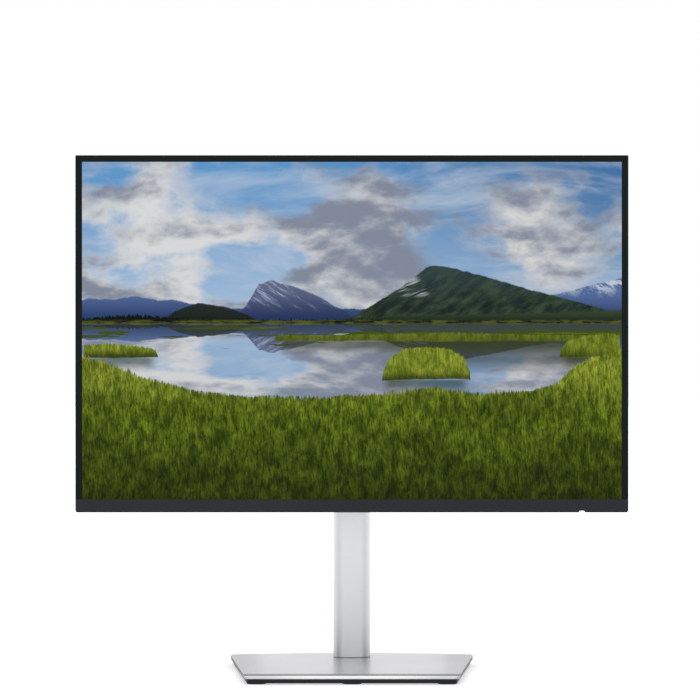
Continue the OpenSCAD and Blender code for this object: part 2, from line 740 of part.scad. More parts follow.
// Solid of the electronics bay, drawn in by d
module bay(d, front) intersection() {
    translate([-display_w, 0, 0]) rotate([90, 0, 90]) linear_extrude(2 * display_w)
        polygon([[front, -bay_down + d], [back_y - d, -bay_down + d],
            [back_y - d, bay_up - bay_lean - d], [edge_y - skin_t, bay_up - d], [front, bay_up - d]]);
    translate([0, 0, -display_h]) linear_extrude(2 * display_h)
        polygon([[-bay_half_w + d, front], [bay_half_w - d, front],
            [bay_half_w - d, edge_y - skin_t], [bay_half_w - bay_lean - d, back_y - d],
            [-bay_half_w + bay_lean + d, back_y - d], [-bay_half_w + d, edge_y - skin_t]]);
}

module pod(d, front)
    block([joystick_x - pod_half_w + d, front, stick_z - pod_half_h + d],
        [joystick_x + pod_half_w - d, pod_back_y - d, stick_z + pod_half_h - d]);

inlet_half_w = 14;
inlet_d = 22;
inlet_h = 26;
inlet_x = -(board_in_x + board_out_x) / 2;
inlet_y = board_face_y + lay_gap;
port_h = 18;
usb_x = board_out_x - 13;
square_x = usb_x - 17;
hdmi_x = square_x - 16;
dp_x = hdmi_x - 19;
port_y = board_face_y + lay_gap;
ports = [[dp_x, 17, 6], [hdmi_x, 15, 5.6], [square_x, 12, 11], [usb_x, 14.5, 15.6]];

module rear_cover() color([0.74, 0.75, 0.76]) at_head() difference() {
    union() {
        difference() {
            union() {
                upright(frame_end_y + lay_gap, edge_y)
                    polygon(rect_outline(-half_w, half_w, low_z, top_z, corner_low_r, corner_top_r));
                bay(0, edge_y - 1);
                pod(0, edge_y - 1);
            }
            block([-half_w + skin_t, front_y, low_z + skin_t], [half_w - skin_t, edge_y - skin_t,
                top_z - skin_t]);
            bay(skin_t, edge_y - 3);
            pod(wall_t, edge_y - 3);
        }
        block([-plate_half_w - window_gap - skin_t, recess_y - skin_t,
            -plate_half_h - lip_h - window_gap - skin_t],
            [plate_half_w + window_gap + skin_t, inner_back_y + 1, plate_half_h + window_gap + skin_t]);
        for (x = [-1, 1]) for (z = [-1, 1])
            bar_y(x * cover_screw_x, z * cover_screw_z, bracket_y + bracket_t + lay_gap,
                inner_back_y + 1, cover_boss_r);
        block([-5, inner_back_y - 5, spring_low - 2], [5, inner_back_y + 1, spring_low]);
    }
    block([-plate_half_w - window_gap, recess_y, -plate_half_h - lip_h - window_gap],
        [plate_half_w + window_gap, back_y + 1, plate_half_h + window_gap]);
    both_sides() block([hook_x - hook_half_w - window_gap, recess_y - skin_t - 1, hook_z - window_gap],
        [hook_x + hook_half_w + window_gap, recess_y + 1, hook_z + hook_t + hook_foot_up + window_gap]);
    block([-slider_half_w - window_gap, lip_back_y - 2.5,
        slider_top - slider_h - release_travel - window_gap],
        [slider_half_w + window_gap, back_y + 1, -plate_half_h]);
    both_sides() block([slider_half_w - 1, recess_y - 2.5, slider_top - slider_h],
        [slider_half_w + slider_flange + slide_gap, inner_back_y, slider_top - 2.6]);
    for (x = [-1, 1]) for (z = [-1, 1]) {
        bar_y(x * vesa_pitch / 2, z * vesa_pitch / 2, inner_back_y - 3, back_y + 1,
            insert_r + slide_gap);
        bar_y(x * cover_screw_x, z * cover_screw_z, bracket_y, back_y + 1, screw_hole_r + 0.1);
        bar_y(x * cover_screw_x, z * cover_screw_z, back_y - 0.9, back_y + 1,
            screw_head_r + slide_gap);
    }
    block([inlet_x - inlet_half_w - window_gap, inlet_y - window_gap, -bay_down - 1],
        [inlet_x + inlet_half_w + window_gap, inlet_y + inlet_d + window_gap, -bay_down + skin_t + 1]);
    for (p = ports) block([p[0] - p[1] / 2 - window_gap, port_y - window_gap, -bay_down - 1],
        [p[0] + p[1] / 2 + window_gap, port_y + p[2] + window_gap, -bay_down + skin_t + 1]);
    for (i = [0:vent_count - 1]) translate([(i - (vent_count - 1) / 2) * vent_step, 0, 0])
        block([-vent_w / 2, edge_y + 6, bay_up - bay_lean - 4], [vent_w / 2, back_y - 6, bay_up + 1]);
    bar_y(joystick_x, stick_z, pod_back_y - 4, pod_back_y + 1, pod_hole_r);
    block([lock_x - 3.5, edge_y + 14, -bay_down - 1], [lock_x + 3.5, edge_y + 17, -bay_down + skin_t + 1]);
}
vent_step = (bay_w - 2 * bay_lean - 16) / vent_count;
lock_x = 0;

module rear_cover_screws() color([0.2, 0.2, 0.21]) at_head()
    for (x = [-1, 1]) for (z = [-1, 1]) {
        bar_y(x * cover_screw_x, z * cover_screw_z, back_y - 0.85, back_y - 0.1, screw_head_r);
        bar_y(x * cover_screw_x, z * cover_screw_z, bracket_y - 2, back_y - 0.85, screw_r);
    }

module vesa_bracket() color([0.6, 0.61, 0.62]) at_head() difference() {
    union() {
        block([-bracket_half, bracket_y, -bracket_half], [bracket_half, bracket_y + bracket_t,
            bracket_half]);
        both_sides() block([bracket_half - leg_t, chassis_y + chassis_t + lay_gap / 2, -bracket_half],
            [bracket_half, bracket_y + 1, bracket_half]);
    }
    both_sides() block([hook_x - hook_half_w - window_gap, bracket_y - 1, hook_z - window_gap],
        [hook_x + hook_half_w + window_gap, bracket_y + bracket_t + 1, hook_z + hook_t + window_gap]);
    for (x = [-1, 1]) for (z = [-1, 1]) {
        bar_y(x * vesa_pitch / 2, z * vesa_pitch / 2, bracket_y - cut, bracket_y + bracket_t + cut,
            insert_r + 0.02);
        bar_y(x * cover_screw_x, z * cover_screw_z, bracket_y - cut, bracket_y + bracket_t + cut,
            screw_hole_r);
    }
    block([bracket_half - leg_t - 1, board_y - 3, -54], [bracket_half + 1, board_face_y + 5, -16]);
}

module vesa_inserts() color([0.75, 0.62, 0.3]) at_head()
    for (x = [-1, 1]) for (z = [-1, 1]) difference() {
        union() {
            bar_y(x * vesa_pitch / 2, z * vesa_pitch / 2, bracket_y - 0.5, back_y - 0.6, insert_r);
            bar_y(x * vesa_pitch / 2, z * vesa_pitch / 2, bracket_y - 2, bracket_y - 0.02,
                insert_r + 1);
        }
        bar_y(x * vesa_pitch / 2, z * vesa_pitch / 2, bracket_y - 3, back_y, vesa_hole_r);
    }

module chassis_plate() color([0.62, 0.63, 0.64]) at_head() difference() {
    union() {
        block([-board_out_x - 3, chassis_y, -bay_down + 6], [board_out_x + 3, chassis_y + chassis_t,
            bay_up - 8]);
        both_sides() for (p = board_corners())
            bar_y(p[0], p[1], chassis_y, board_y - lay_gap / 2, standoff_r);
    }
    both_sides() for (p = board_corners())
        bar_y(p[0], p[1], chassis_y - cut, board_y + cut, screw_hole_r);
    for (x = [-30:20:30]) for (z = [20:18:56]) bar_y(x, z, chassis_y - cut, chassis_y + 2, 5);
}

// Fixing holes of a board, for the board on the +X side
function board_corners() = [for (x = [board_in_x + board_hole_in, board_out_x - board_hole_in])
    for (z = [board_low + 30, board_top - board_hole_in]) [x, z]];

// A circuit board with its four fixing holes, on the +X side
module board_blank() difference() {
    block([board_in_x, board_y, board_low], [board_out_x, board_face_y, board_top]);
    for (p = board_corners()) bar_y(p[0], p[1], board_y - cut, board_face_y + cut, screw_hole_r);
}

module power_board() color([0.35, 0.45, 0.2]) at_head() mirror([1, 0, 0]) {
    board_blank();
    block([board_in_x + 12, board_face_y - 0.1, board_top - 32], [board_in_x + 34, board_face_y + 8,
        board_top - 28]);
    block([board_out_x - 20, board_face_y - 0.1, 10], [board_out_x - 16, board_face_y + 12, 40]);
    bar_y(board_in_x + 16, board_top - 14, board_face_y - 0.1, board_face_y + 7, 4);
}

module power_transformer() color([0.8, 0.7, 0.25]) at_head()
    translate([-(board_in_x + board_out_x) / 2, board_face_y + lay_gap / 2, 12]) {
        block([-15, 0, -11], [15, 16, 11]);
        block([-11, 0, -15], [11, 14, 15]);
    }

module power_capacitors() color([0.12, 0.16, 0.3]) at_head() {
    bar_y(-(board_in_x + 14), -14, board_face_y + lay_gap / 2, board_face_y + 17, 8);
    bar_y(-(board_in_x + 34), -16, board_face_y + lay_gap / 2, board_face_y + 15, 6);
    for (i = [0:2]) bar_y(-(board_in_x + 30 + 12 * i), board_top - 22, board_face_y + lay_gap / 2,
        board_face_y + 12, 4);
}

// Appliance inlet: the cavity is open downwards and holds three flat pins
module power_inlet() color([0.04, 0.04, 0.045]) at_head()
    translate([inlet_x, inlet_y + inlet_d / 2, -bay_down]) {
        difference() {
            block([-inlet_half_w, -inlet_d / 2, 0], [inlet_half_w, inlet_d / 2, inlet_h]);
            block([-12.2, -8.4, -1], [12.2, 8.4, 17]);
        }
        for (p = [[-7, 0], [7, 0], [0, 4]])
            block([p[0] - 1, p[1] - 2, 3], [p[0] + 1, p[1] + 2, 18]);
    }

module main_board() color([0.05, 0.28, 0.16]) at_head() {
    board_blank();
    block([board_in_x + 2, board_face_y - 0.1, ribbon_z], [board_in_x + 7, board_face_y + 3,
        ribbon_z + ribbon_w]);
    for (z = [20:10:50]) block([board_out_x - 16, board_face_y - 0.1, z], [board_out_x - 10,
        board_face_y + 2, z + 5]);
}

module main_chips() color([0.07, 0.07, 0.08]) at_head() {
    translate([board_in_x + 32, board_face_y + lay_gap / 2, 6]) {
        block([-14, 0, -14], [14, 2.4, 14]);
        for (i = [0:6]) block([-14 + 4.4 * i, 2.3, -14], [-12.4 + 4.4 * i, 10, 14]);
    }
    for (z = [-36, -20]) block([board_in_x + 24, board_face_y + lay_gap / 2, z], [board_in_x + 38,
        board_face_y + 1.3, z + 10]);
}

// Signal sockets, open downwards, each with a tongue inside
module signal_ports() color([0.6, 0.6, 0.62]) at_head()
    for (p = ports) translate([p[0], port_y, -bay_down]) {
        difference() {
            block([-p[1] / 2, 0, 0], [p[1] / 2, p[2], port_h]);
            block([-p[1] / 2 + 0.7, 0.7, -1], [p[1] / 2 - 0.7, p[2] - 0.7, port_h - 3]);
        }
        tongue = p[2] > 14 ? [2, 5.2, 8.6, 11.8] : p[2] > 8 ? [3.2, 7.6] : [p[2] / 2 - 0.6, p[2] / 2 + 0.6];
        block([-p[1] / 2 + 2, tongue[0], 2], [p[1] / 2 - 2, tongue[1], port_h - 1]);
        if (len(tongue) > 2) {
            block([-p[1] / 2 + 2, tongue[2], 2], [p[1] / 2 - 2, tongue[3], port_h - 1]);
            block([-p[1] / 2, 6.6, 0], [p[1] / 2, 7.4, port_h - 1]);
        }
    }

module board_screws() color([0.7, 0.7, 0.72]) at_head()
    both_sides() for (p = board_corners())
        screw_back(p[0], p[1], board_face_y + lay_gap / 2, board_t + board_gap - 0.3);

module driver_board() color([0.05, 0.28, 0.16]) at_head() {
    block([-50, chassis_y + chassis_t + 1.3, -54], [50, chassis_y + chassis_t + 2.7, -18]);
    for (x = [-46, 46]) for (z = [-50, -22])
        bar_y(x, z, chassis_y + chassis_t + lay_gap / 2, chassis_y + chassis_t + 2, 2);
    block([-20, chassis_y + chassis_t + 2, -42], [-4, chassis_y + chassis_t + 4, -28]);
    block([42, chassis_y + chassis_t + 2, -48], [47, chassis_y + chassis_t + 5, -22]);
}

ribbon_t = 0.3;
ribbon_w = 20;
ribbon_z = -44;
module display_ribbon() color([0.85, 0.85, 0.82]) at_head() translate([0, 0, ribbon_z])
    linear_extrude(ribbon_w) polygon([
        [47.1, driver_y], [52, driver_y], [60, ribbon_y], [board_in_x + 1.9, ribbon_y],
        [board_in_x + 1.9, ribbon_y + ribbon_t], [59.8, ribbon_y + ribbon_t],
        [51.8, driver_y + ribbon_t], [47.1, driver_y + ribbon_t]]);
driver_y = chassis_y + chassis_t + 4;
ribbon_y = board_face_y + 1.2;

// ---- Panel ----

module panel_tray() color([0.66, 0.67, 0.68]) at_head()
    upright(tray_y, tray_y + tray_t) polygon(rect_outline(-panel_w + 0.6, panel_w - 0.6,
        panel_low + 0.4, panel_top - 0.6, 1, 1));

module light_guide() color([0.9, 0.92, 0.92]) at_head()
    block([-guide_w, guide_y, guide_low], [guide_w, guide_y + guide_t, guide_top]);

led_count = 48;
led_pitch = 2 * (guide_w - 6) / led_count;
module led_bar() color([0.9, 0.9, 0.8]) at_head() {
    block([-guide_w + 3, guide_y, guide_low - 2.4], [guide_w - 3, guide_y + guide_t, guide_low - 1.4]);
    for (i = [0:led_count - 1]) translate([(i - (led_count - 1) / 2) * led_pitch, 0, 0])
        block([-1.5, guide_y + 0.5, guide_low - 1.5], [1.5, guide_y + guide_t - 0.5, guide_low - 0.2]);
}

module optical_films() color([0.95, 0.95, 0.95]) at_head() {
    for (i = [0:film_count - 1]) block([-guide_w, film_y + i * film_step, guide_low],
        [guide_w, film_y + i * film_step + film_t, guide_top]);
    block([-guide_w, reflector_y, guide_low], [guide_w, reflector_y + reflector_t, guide_top]);
}

module panel_frame() color([0.1, 0.1, 0.1]) at_head() difference() {
    block([-panel_w, film_y, panel_low], [panel_w, tray_y - lay_gap, panel_top]);
    block([-panel_w + panel_wall, film_y - 1, guide_low - 3],
        [panel_w - panel_wall, tray_y, panel_top - panel_wall]);
}

module lcd_glass() color([0.12, 0.2, 0.3]) at_head()
    block([-glass_half_w, glass_y, glass_low], [glass_half_w, glass_y + glass_t, glass_top]);

module front_frame() color([0.09, 0.1, 0.105]) at_head() difference() {
    upright(front_y, frame_end_y)
        polygon(rect_outline(-half_w, half_w, low_z, top_z, corner_low_r, corner_top_r));
    block([-frame_in_w, front_y + lip_t, frame_in_low], [frame_in_w, frame_end_y + 1, frame_in_top]);
    block([-active_w / 2, front_y - 1, active_low_z], [active_w / 2, front_y + lip_t + 1, active_top_z]);
    block([-half_w - 1, front_y - 1, low_z - 1], [half_w + 1, front_y + lip_t + lay_gap,
        active_low_z + lay_gap]);
    block([power_key_x - 6.3, front_y + 1, low_z - 1], [power_key_x + 6.3, front_y + 6.2,
        frame_in_low + 1]);
    block([power_light_x - 2.7, front_y - 1, low_z - 1], [power_light_x + 2.7, front_y + 5.2,
        frame_in_low + 1]);
}

module bottom_bezel() color([0.17, 0.19, 0.2]) at_head() difference() {
    upright(front_y - chin_step, front_y + lip_t)
        polygon(rect_outline(-half_w, half_w, low_z, active_low_z, corner_low_r, 0.4));
    block([power_light_x - 2.6, front_y - 1, low_z - 1], [power_light_x + 2.6, front_y + 3, low_z + 1.3]);
}

// ---- Controls ----

module power_light_guide() color([0.95, 0.97, 1]) at_head() {
    block([power_light_x - 2.5, front_y - chin_step, low_z], [power_light_x + 2.5, front_y + 5,
        low_z + 1.2]);
    block([power_light_x - 1.5, front_y + 2, low_z + 1], [power_light_x + 1.5, front_y + 5,
        low_z + 3.6]);
}

module power_key() color([0.06, 0.06, 0.065]) at_head() {
    block([power_key_x - 6, front_y + 1.3, low_z + 0.1], [power_key_x + 6, front_y + 5.9,
        frame_in_low + 0.5]);
    block([power_key_x - 7.5, front_y + 1.3, frame_in_low + 0.2], [power_key_x + 7.5, front_y + 5.9,
        frame_in_low + 1.2]);
}

module button_board() color([0.05, 0.28, 0.16]) at_head() {
    block([power_light_x - 4, front_y + 1.8, low_z + 3.8], [power_key_x + 9, front_y + 6.4,
        low_z + 4.6]);
    difference() {
        union() {
            block([joystick_x - 17, key_board_y, stick_z - 12], [joystick_x + 17,
                key_board_y + key_board_t, stick_z + 12]);
            for (s = [-1, 1]) block([joystick_x - 2, key_board_y, stick_z + s * 8.1 - 1.1],
                [joystick_x + 2, stick_y + 1.6, stick_z + s * 8.1 + 1.1]);
        }
        bar_z(joystick_x, stick_y, stick_z - 10, stick_z + 10, pin_r + run_fit);
    }
}

// A bar along X or Z through the joystick's middle
module stick_pins(r_from, r_to, r) both_ways() bar_z(0, 0, r_from, r_to, r);
module both_ways() {
    children();
    mirror([0, 0, 1]) children();
}

module joystick_gimbal() color([0.2, 0.2, 0.22]) at_head() translate([joystick_x, stick_y, stick_z])
    difference() {
        union() {
            ring_y(-1.1, 1.1, ring_r, ring_in_r);
            stick_pins(ring_r - 0.8, 8.6, pin_r);
        }
        bar_x(0, 0, -ring_r - 1, ring_r + 1, pin_r + run_fit);
    }

stem_r = 2.6;
cap_shaft_r = 1.3;
module joystick_stem() color([0.2, 0.2, 0.22]) at_head() translate([joystick_x, stick_y, stick_z])
    difference() {
        union() {
            bar_y(0, 0, -2, 4.4, stem_r);
            bar_x(0, 0, stem_r - 0.4, ring_r - 0.3, pin_r);
            bar_x(0, 0, -ring_r + 0.3, -stem_r + 0.4, pin_r);
        }
        bar_y(0, 0, -1, 5, cap_shaft_r + run_fit);
    }

module joystick_cap() color([0.06, 0.06, 0.065]) at_head() translate([joystick_x, stick_y, stick_z]) {
    bar_y(0, 0, -0.3, 11, cap_shaft_r);
    bar_y(0, 0, 10, 12, 5.6);
    bar_y(0, 0, 12, 12.8, 4.6);
}

base_top_cover();
base_underside();
base_plate();
rubber_feet();
base_screws();
swivel_washers();
swivel_hub();
swivel_retainer();
swivel_screws();
column_core();
column_front_cover();
column_rear_cover();
column_top_cap();
lift_stop();
drum_axle();
spring_drum();
spring_coil();
spring_band();
lift_carriage();
carriage_glides();
tilt_shaft();
friction_discs();
tilt_nuts();
tilt_bracket();
hinge_covers();
pivot_retainer();
pivot_screws();
pivot_washer();
quick_release_plate();
release_slider();
release_spring();
rear_cover();
rear_cover_screws();
vesa_bracket();
vesa_inserts();
chassis_plate();
power_board();
power_transformer();
power_capacitors();
power_inlet();
main_board();
main_chips();
signal_ports();
board_screws();
driver_board();
display_ribbon();
panel_tray();
light_guide();
led_bar();
optical_films();
panel_frame();
lcd_glass();
front_frame();
bottom_bezel();
button_board();
power_light_guide();
power_key();
joystick_gimbal();
joystick_stem();
joystick_cap();
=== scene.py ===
# %% [markdown]
# # A desktop monitor on a lifting stand
#
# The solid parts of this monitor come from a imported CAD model, already in metres and in place.
# This lesson gives them their looks: softened edges, a lit picture, painted and moulded finishes,
# a few repeated details made with Geometry Nodes, and a plain studio round them.

# %% Load the frame
import bpy
import bmesh
import json
import math
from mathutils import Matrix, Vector


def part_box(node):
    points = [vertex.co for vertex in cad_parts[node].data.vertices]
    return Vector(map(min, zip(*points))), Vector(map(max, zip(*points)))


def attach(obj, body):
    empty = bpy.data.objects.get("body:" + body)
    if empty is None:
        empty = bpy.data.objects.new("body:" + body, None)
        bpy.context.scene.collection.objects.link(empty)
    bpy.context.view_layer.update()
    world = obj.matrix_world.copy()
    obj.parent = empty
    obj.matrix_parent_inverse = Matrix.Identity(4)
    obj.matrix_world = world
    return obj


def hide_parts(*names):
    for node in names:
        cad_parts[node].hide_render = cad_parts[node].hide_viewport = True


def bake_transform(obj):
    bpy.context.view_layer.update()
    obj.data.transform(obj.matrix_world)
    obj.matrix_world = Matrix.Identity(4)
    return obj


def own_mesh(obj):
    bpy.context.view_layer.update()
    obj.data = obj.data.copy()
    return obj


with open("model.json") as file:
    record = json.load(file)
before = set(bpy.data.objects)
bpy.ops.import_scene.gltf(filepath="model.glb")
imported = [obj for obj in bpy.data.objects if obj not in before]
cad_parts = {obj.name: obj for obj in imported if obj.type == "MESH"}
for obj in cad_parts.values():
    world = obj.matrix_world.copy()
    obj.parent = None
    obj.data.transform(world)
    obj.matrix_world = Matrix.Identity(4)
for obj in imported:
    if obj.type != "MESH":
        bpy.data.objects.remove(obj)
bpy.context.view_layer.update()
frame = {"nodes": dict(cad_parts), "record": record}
NODE_BODY = {n: b for b, names in frame["record"]["behaviour"]["bodies"].items() for n in names}

# %% Sizes read from the frame
MM = 0.001


def low(node):
    return Vector(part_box(node)[0])


def high(node):
    return Vector(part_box(node)[1])


SLIM_BEZEL = 6.3 * MM
SCREEN_LOW_Z = high("bottom_bezel").z
SCREEN_HALF_W = high("front_frame").x - SLIM_BEZEL
SCREEN_TOP_Z = high("front_frame").z - SLIM_BEZEL
SCREEN_H = SCREEN_TOP_Z - SCREEN_LOW_Z
SCREEN_W = 2 * SCREEN_HALF_W
print("lit picture, mm:", round(SCREEN_W / MM, 1), round(SCREEN_H / MM, 1))

# %% [markdown]
# ## Shader maths as Python
#
# A material is a graph of nodes. Wiring Math nodes by hand hides the formula, so `Wire` wraps an
# output socket and turns `+ - * /` into Math nodes. Every other node comes from `Finish.add`,
# which sets the node's settings first and then its inputs.


# %% A socket that takes part in expressions
class Wire:
    def __init__(self, finish, socket):
        self.finish = finish
        self.socket = socket

    def math(self, operation, *others):
        values = dict(enumerate((self,) + others))
        return self.finish.add("ShaderNodeMath", {"operation": operation}, values)

    def __add__(self, other):
        return self.math("ADD", other)

    def __mul__(self, other):
        return self.math("MULTIPLY", other)

    def __sub__(self, other):
        return self.math("SUBTRACT", other)

    def __truediv__(self, other):
        return self.math("DIVIDE", other)

    def __rsub__(self, other):
        return self.finish.add("ShaderNodeMath", {"operation": "SUBTRACT"}, {0: other, 1: self})

    def __abs__(self):
        return self.math("ABSOLUTE")

    __radd__ = __add__
    __rmul__ = __mul__

    def step(self, start, end):
        """0 below start, 1 above end, smooth between them. Start may lie above end."""
        return self.finish.add("ShaderNodeMapRange", {"interpolation_type": "SMOOTHSTEP"},
                               {"Value": self, "From Min": start, "From Max": end})


# %% A material under construction
class Finish:
    def __init__(self, name):
        self.material = bpy.data.materials.new(name)
        self.material.use_nodes = True
        self.nodes = self.material.node_tree.nodes
        self.links = self.material.node_tree.links
        self.shader = self.nodes["Principled BSDF"]
        self.place = self.add("ShaderNodeTexCoord", {}, {}, "Object")

    def add(self, kind, settings, values, output=0):
        node = self.nodes.new(kind)
        for key, value in settings.items():
            if key == "stops":
                while len(node.color_ramp.elements) < len(value):
                    node.color_ramp.elements.new(0.5)
                for element, (at, colour) in zip(node.color_ramp.elements, value):
                    element.position = at
                    element.color = (*colour, 1)
            else:
                setattr(node, key, value)
        for key, value in values.items():
            self.feed(node.inputs[key], value)
        return Wire(self, node.outputs[output])

    def feed(self, socket, value):
        if isinstance(value, Wire):
            self.links.new(value.socket, socket)
        elif isinstance(value, tuple) and len(value) == 3 and socket.type == "RGBA":
            socket.default_value = (*value, 1)
        else:
            socket.default_value = value

    def set(self, **values):
        for key, value in values.items():
            self.feed(self.shader.inputs[key.replace("_", " ")], value)
        return self.material

    def axes(self):
        split = self.nodes.new("ShaderNodeSeparateXYZ")
        self.links.new(self.place.socket, split.inputs[0])
        return [Wire(self, split.outputs[i]) for i in range(3)]

    def point(self, x, y, z):
        return self.add("ShaderNodeCombineXYZ", {}, {0: x, 1: y, 2: z})

    def noise(self, where, scale, detail=2.0, rough=0.5, warp=0.0):
        return self.add("ShaderNodeTexNoise", {}, {
            "Vector": where, "Scale": scale, "Detail": detail,
            "Roughness": rough, "Distortion": warp})

    def mix(self, amount, first, second):
        node = self.nodes.new("ShaderNodeMix")
        node.data_type = "RGBA"
        for index, value in ((0, amount), (6, first), (7, second)):
            self.feed(node.inputs[index], value)
        return Wire(self, node.outputs[2])

    def bump(self, height, strength, distance):
        self.set(Normal=self.add("ShaderNodeBump", {}, {
            "Height": height, "Strength": strength, "Distance": distance}))


print("shader helpers ready")

# %% [markdown]
# ## Moulded and painted finishes
#
# Real plastic is never one flat colour. Its mould is spark-eroded, so the face has a fine grain
# that breaks the highlight up, and its gloss changes a little from place to place. The same
# recipe, with other colours and grain sizes, serves the silver covers and the dark plastics.


# %% Grained finishes
def grained(name, colour, rough, grain, depth, metallic=0.0, drift=0.06, uneven=0.12, shine=0.5):
    finish = Finish(name)
    cells = finish.noise(finish.place, grain, 3, 0.6)
    cloud = finish.noise(finish.place, 9, 4)
    darker = tuple(c * (1 - drift) for c in colour)
    lighter = tuple(min(1, c * (1 + drift)) for c in colour)
    finish.bump(cells, 0.25, depth)
    return finish.set(
        Base_Color=finish.mix(cloud.step(0.3, 0.7), darker, lighter),
        Roughness=cloud * uneven + cells * 0.08 + (rough - 0.04 - uneven / 2),
        Metallic=metallic, Specular_IOR_Level=shine)


def brushed(name, colour, rough, stretch):
    """Metal with fine lines along one axis: stretch scales the noise along x, y and z."""
    finish = Finish(name)
    x, y, z = finish.axes()
    lines = finish.noise(finish.point(x * stretch[0], y * stretch[1], z * stretch[2]), 1, 4, 0.7)
    cloud = finish.noise(finish.place, 14, 3)
    finish.bump(lines, 0.2, 0.00004)
    return finish.set(
        Base_Color=finish.mix(lines.step(0.35, 0.65), tuple(c * 0.9 for c in colour), colour),
        Roughness=lines * 0.15 + cloud * 0.1 + (rough - 0.12), Metallic=1.0)


# A darker copy of the silver paint for the covers seen from behind: painted shade.
SHADED_SILVER = grained("shaded_silver_paint", (0.47, 0.475, 0.48), 0.45, 2600, 0.00002, 0.5, 0.03)
SILVER = grained("silver_paint", (0.77, 0.775, 0.78), 0.42, 2600, 0.00002, 0.6, 0.03)
BLACK = grained("black_moulding", (0.010, 0.011, 0.012), 0.5, 1800, 0.00004, shine=0.25)
BEZEL = grained("bezel_black", (0.0065, 0.0085, 0.0095), 0.42, 2200, 0.00002, shine=0.08)
SLATE = grained("bezel_slate", (0.024, 0.028, 0.031), 0.40, 2200, 0.00002, shine=0.10)
RUBBER = grained("foot_rubber", (0.008, 0.008, 0.008), 0.85, 900, 0.00008, shine=0.2)
ACETAL = grained("acetal", (0.75, 0.75, 0.71), 0.4, 1200, 0.00002)
DARK_STEEL = grained("dark_coated_steel", (0.030, 0.032, 0.035), 0.45, 1500, 0.00003, 0.4)
ZINC = brushed("zinc_steel", (0.60, 0.61, 0.62), 0.35, (40, 40, 1400))
SHAFT_STEEL = brushed("shaft_steel", (0.55, 0.55, 0.56), 0.28, (1600, 60, 60))
BRASS = brushed("insert_brass", (0.80, 0.60, 0.28), 0.3, (700, 60, 700))
print("finishes:", len(bpy.data.materials))


# %% [markdown]
# ## The base's pressed sheet
#
# The base is one silver sheet with a satin face. Its sides, the sheet's cut edges, get painted
# shade: a darker colour than the face. Its front slopes down and mirrors the bright studio, so its
# colour there is darkened with painted shade, most at its two ends.
# The height below the top and the distance behind the front tell the shader where these are.


# %% Satin base with painted shade on its sides and front slope
FRONT_SLOPE = 7 * MM
SLOPE_MIDDLE, SLOPE_ENDS = 0.015, 0.09


def satin_base():
    finish = Finish("base_satin_silver")
    x, y, z = finish.axes()
    top, front = high("base_top_cover").z, low("base_top_cover").y
    # Painted shade: the side faces below the top and behind the front get a darker colour and a
    # rougher face.
    side_shade = (top - z).step(0.2 * MM, 0.6 * MM) * (y - front).step(2 * MM, 6 * MM)
    slope = (y - front).step(FRONT_SLOPE, FRONT_SLOPE - 1.5 * MM)
    cells = finish.noise(finish.place, 2400, 3, 0.6)
    cloud = finish.noise(finish.place, 9, 4)
    face = finish.mix(cloud.step(0.3, 0.7), (0.74, 0.745, 0.75), (0.78, 0.785, 0.79))
    # Painted shade on the front slope: darker all along it, darkest at its two ends.
    ends_shade = slope * abs(x).step(SLOPE_MIDDLE, SLOPE_ENDS)
    middle_shade = slope * abs(x).step(SLOPE_ENDS, SLOPE_MIDDLE)
    face = finish.mix(ends_shade, face, (0.50, 0.505, 0.51))
    face = finish.mix(middle_shade, face, (0.66, 0.665, 0.67))
    finish.bump(cells, 0.2, 0.000004)
    return finish.set(Base_Color=finish.mix(side_shade, face, (0.20, 0.20, 0.205)),
                      Roughness=cells * 0.04 + 0.26 + side_shade * 0.25, Metallic=0.78)


BASE_SILVER = satin_base()

# %% [markdown]
# ## Circuit boards and small electronic parts
#
# A board's green comes from a lacquer over copper. Where copper lies under it the green is
# lighter, and the tracks run square. Two brick textures at right angles make that pattern.


# %% Board, chip, tape and capacitor finishes
def circuit_board():
    finish = Finish("circuit_board")
    x, y, z = finish.axes()
    flat = finish.point(x, z, y)
    tracks = finish.add("ShaderNodeTexBrick", {}, {
        "Vector": flat, "Scale": 90.0, "Mortar Size": 0.03, "Color1": (0, 0, 0),
        "Color2": (0.2, 0.2, 0.2), "Mortar": (1, 1, 1)})
    blotch = finish.noise(flat, 60, 2)
    mask = tracks.step(0.3, 0.9) * blotch.step(0.45, 0.55)
    finish.bump(mask, 0.3, 0.00003)
    return finish.set(Base_Color=finish.mix(mask, (0.01, 0.09, 0.045), (0.06, 0.30, 0.13)),
                      Roughness=0.35 - mask * 0.1, Coat_Weight=0.4)


def film_white():
    finish = Finish("optical_film")
    cells = finish.noise(finish.place, 3000, 1)
    return finish.set(Base_Color=finish.mix(cells, (0.82, 0.83, 0.84), (0.9, 0.9, 0.9)),
                      Roughness=cells * 0.2 + 0.3)


BOARD = circuit_board()
FILM = film_white()
CHIP = grained("chip_epoxy", (0.013, 0.013, 0.014), 0.45, 3000, 0.00001)
TAPE = grained("coil_tape", (0.62, 0.47, 0.07), 0.35, 500, 0.00005)
CAN = grained("capacitor_sleeve", (0.02, 0.035, 0.12), 0.3, 700, 0.00001)
ACRYLIC = grained("light_guide_acrylic", (0.75, 0.80, 0.82), 0.12, 4000, 0.000005)
print("electronics finishes ready")

# %% [markdown]
# ## The picture on the screen
#
# The screen shows a made-up mountain lake. No picture file is needed: a colour ramp read as a
# height line gives each outline its rough course, noise breaks it into ridges and tree tops, a
# mirrored copy of the view gives the water, and upright streaks give the grass. The screen's
# own x and z become p, from -0.5 to 0.5, and q, from 0 to 1, and the colour goes to Emission.


# %% Colours by the numbers of a paint chart, and outlines
def paint(red, green, blue):
    """Chart values from 0 to 255, as the linear light that a shader works in."""
    return tuple(((c / 255 + 0.055) / 1.055) ** 2.4 if c > 10 else c / 3294
                 for c in (red, green, blue))


def cover(base, mask, colour):
    return mask.finish.mix(mask, base, colour)


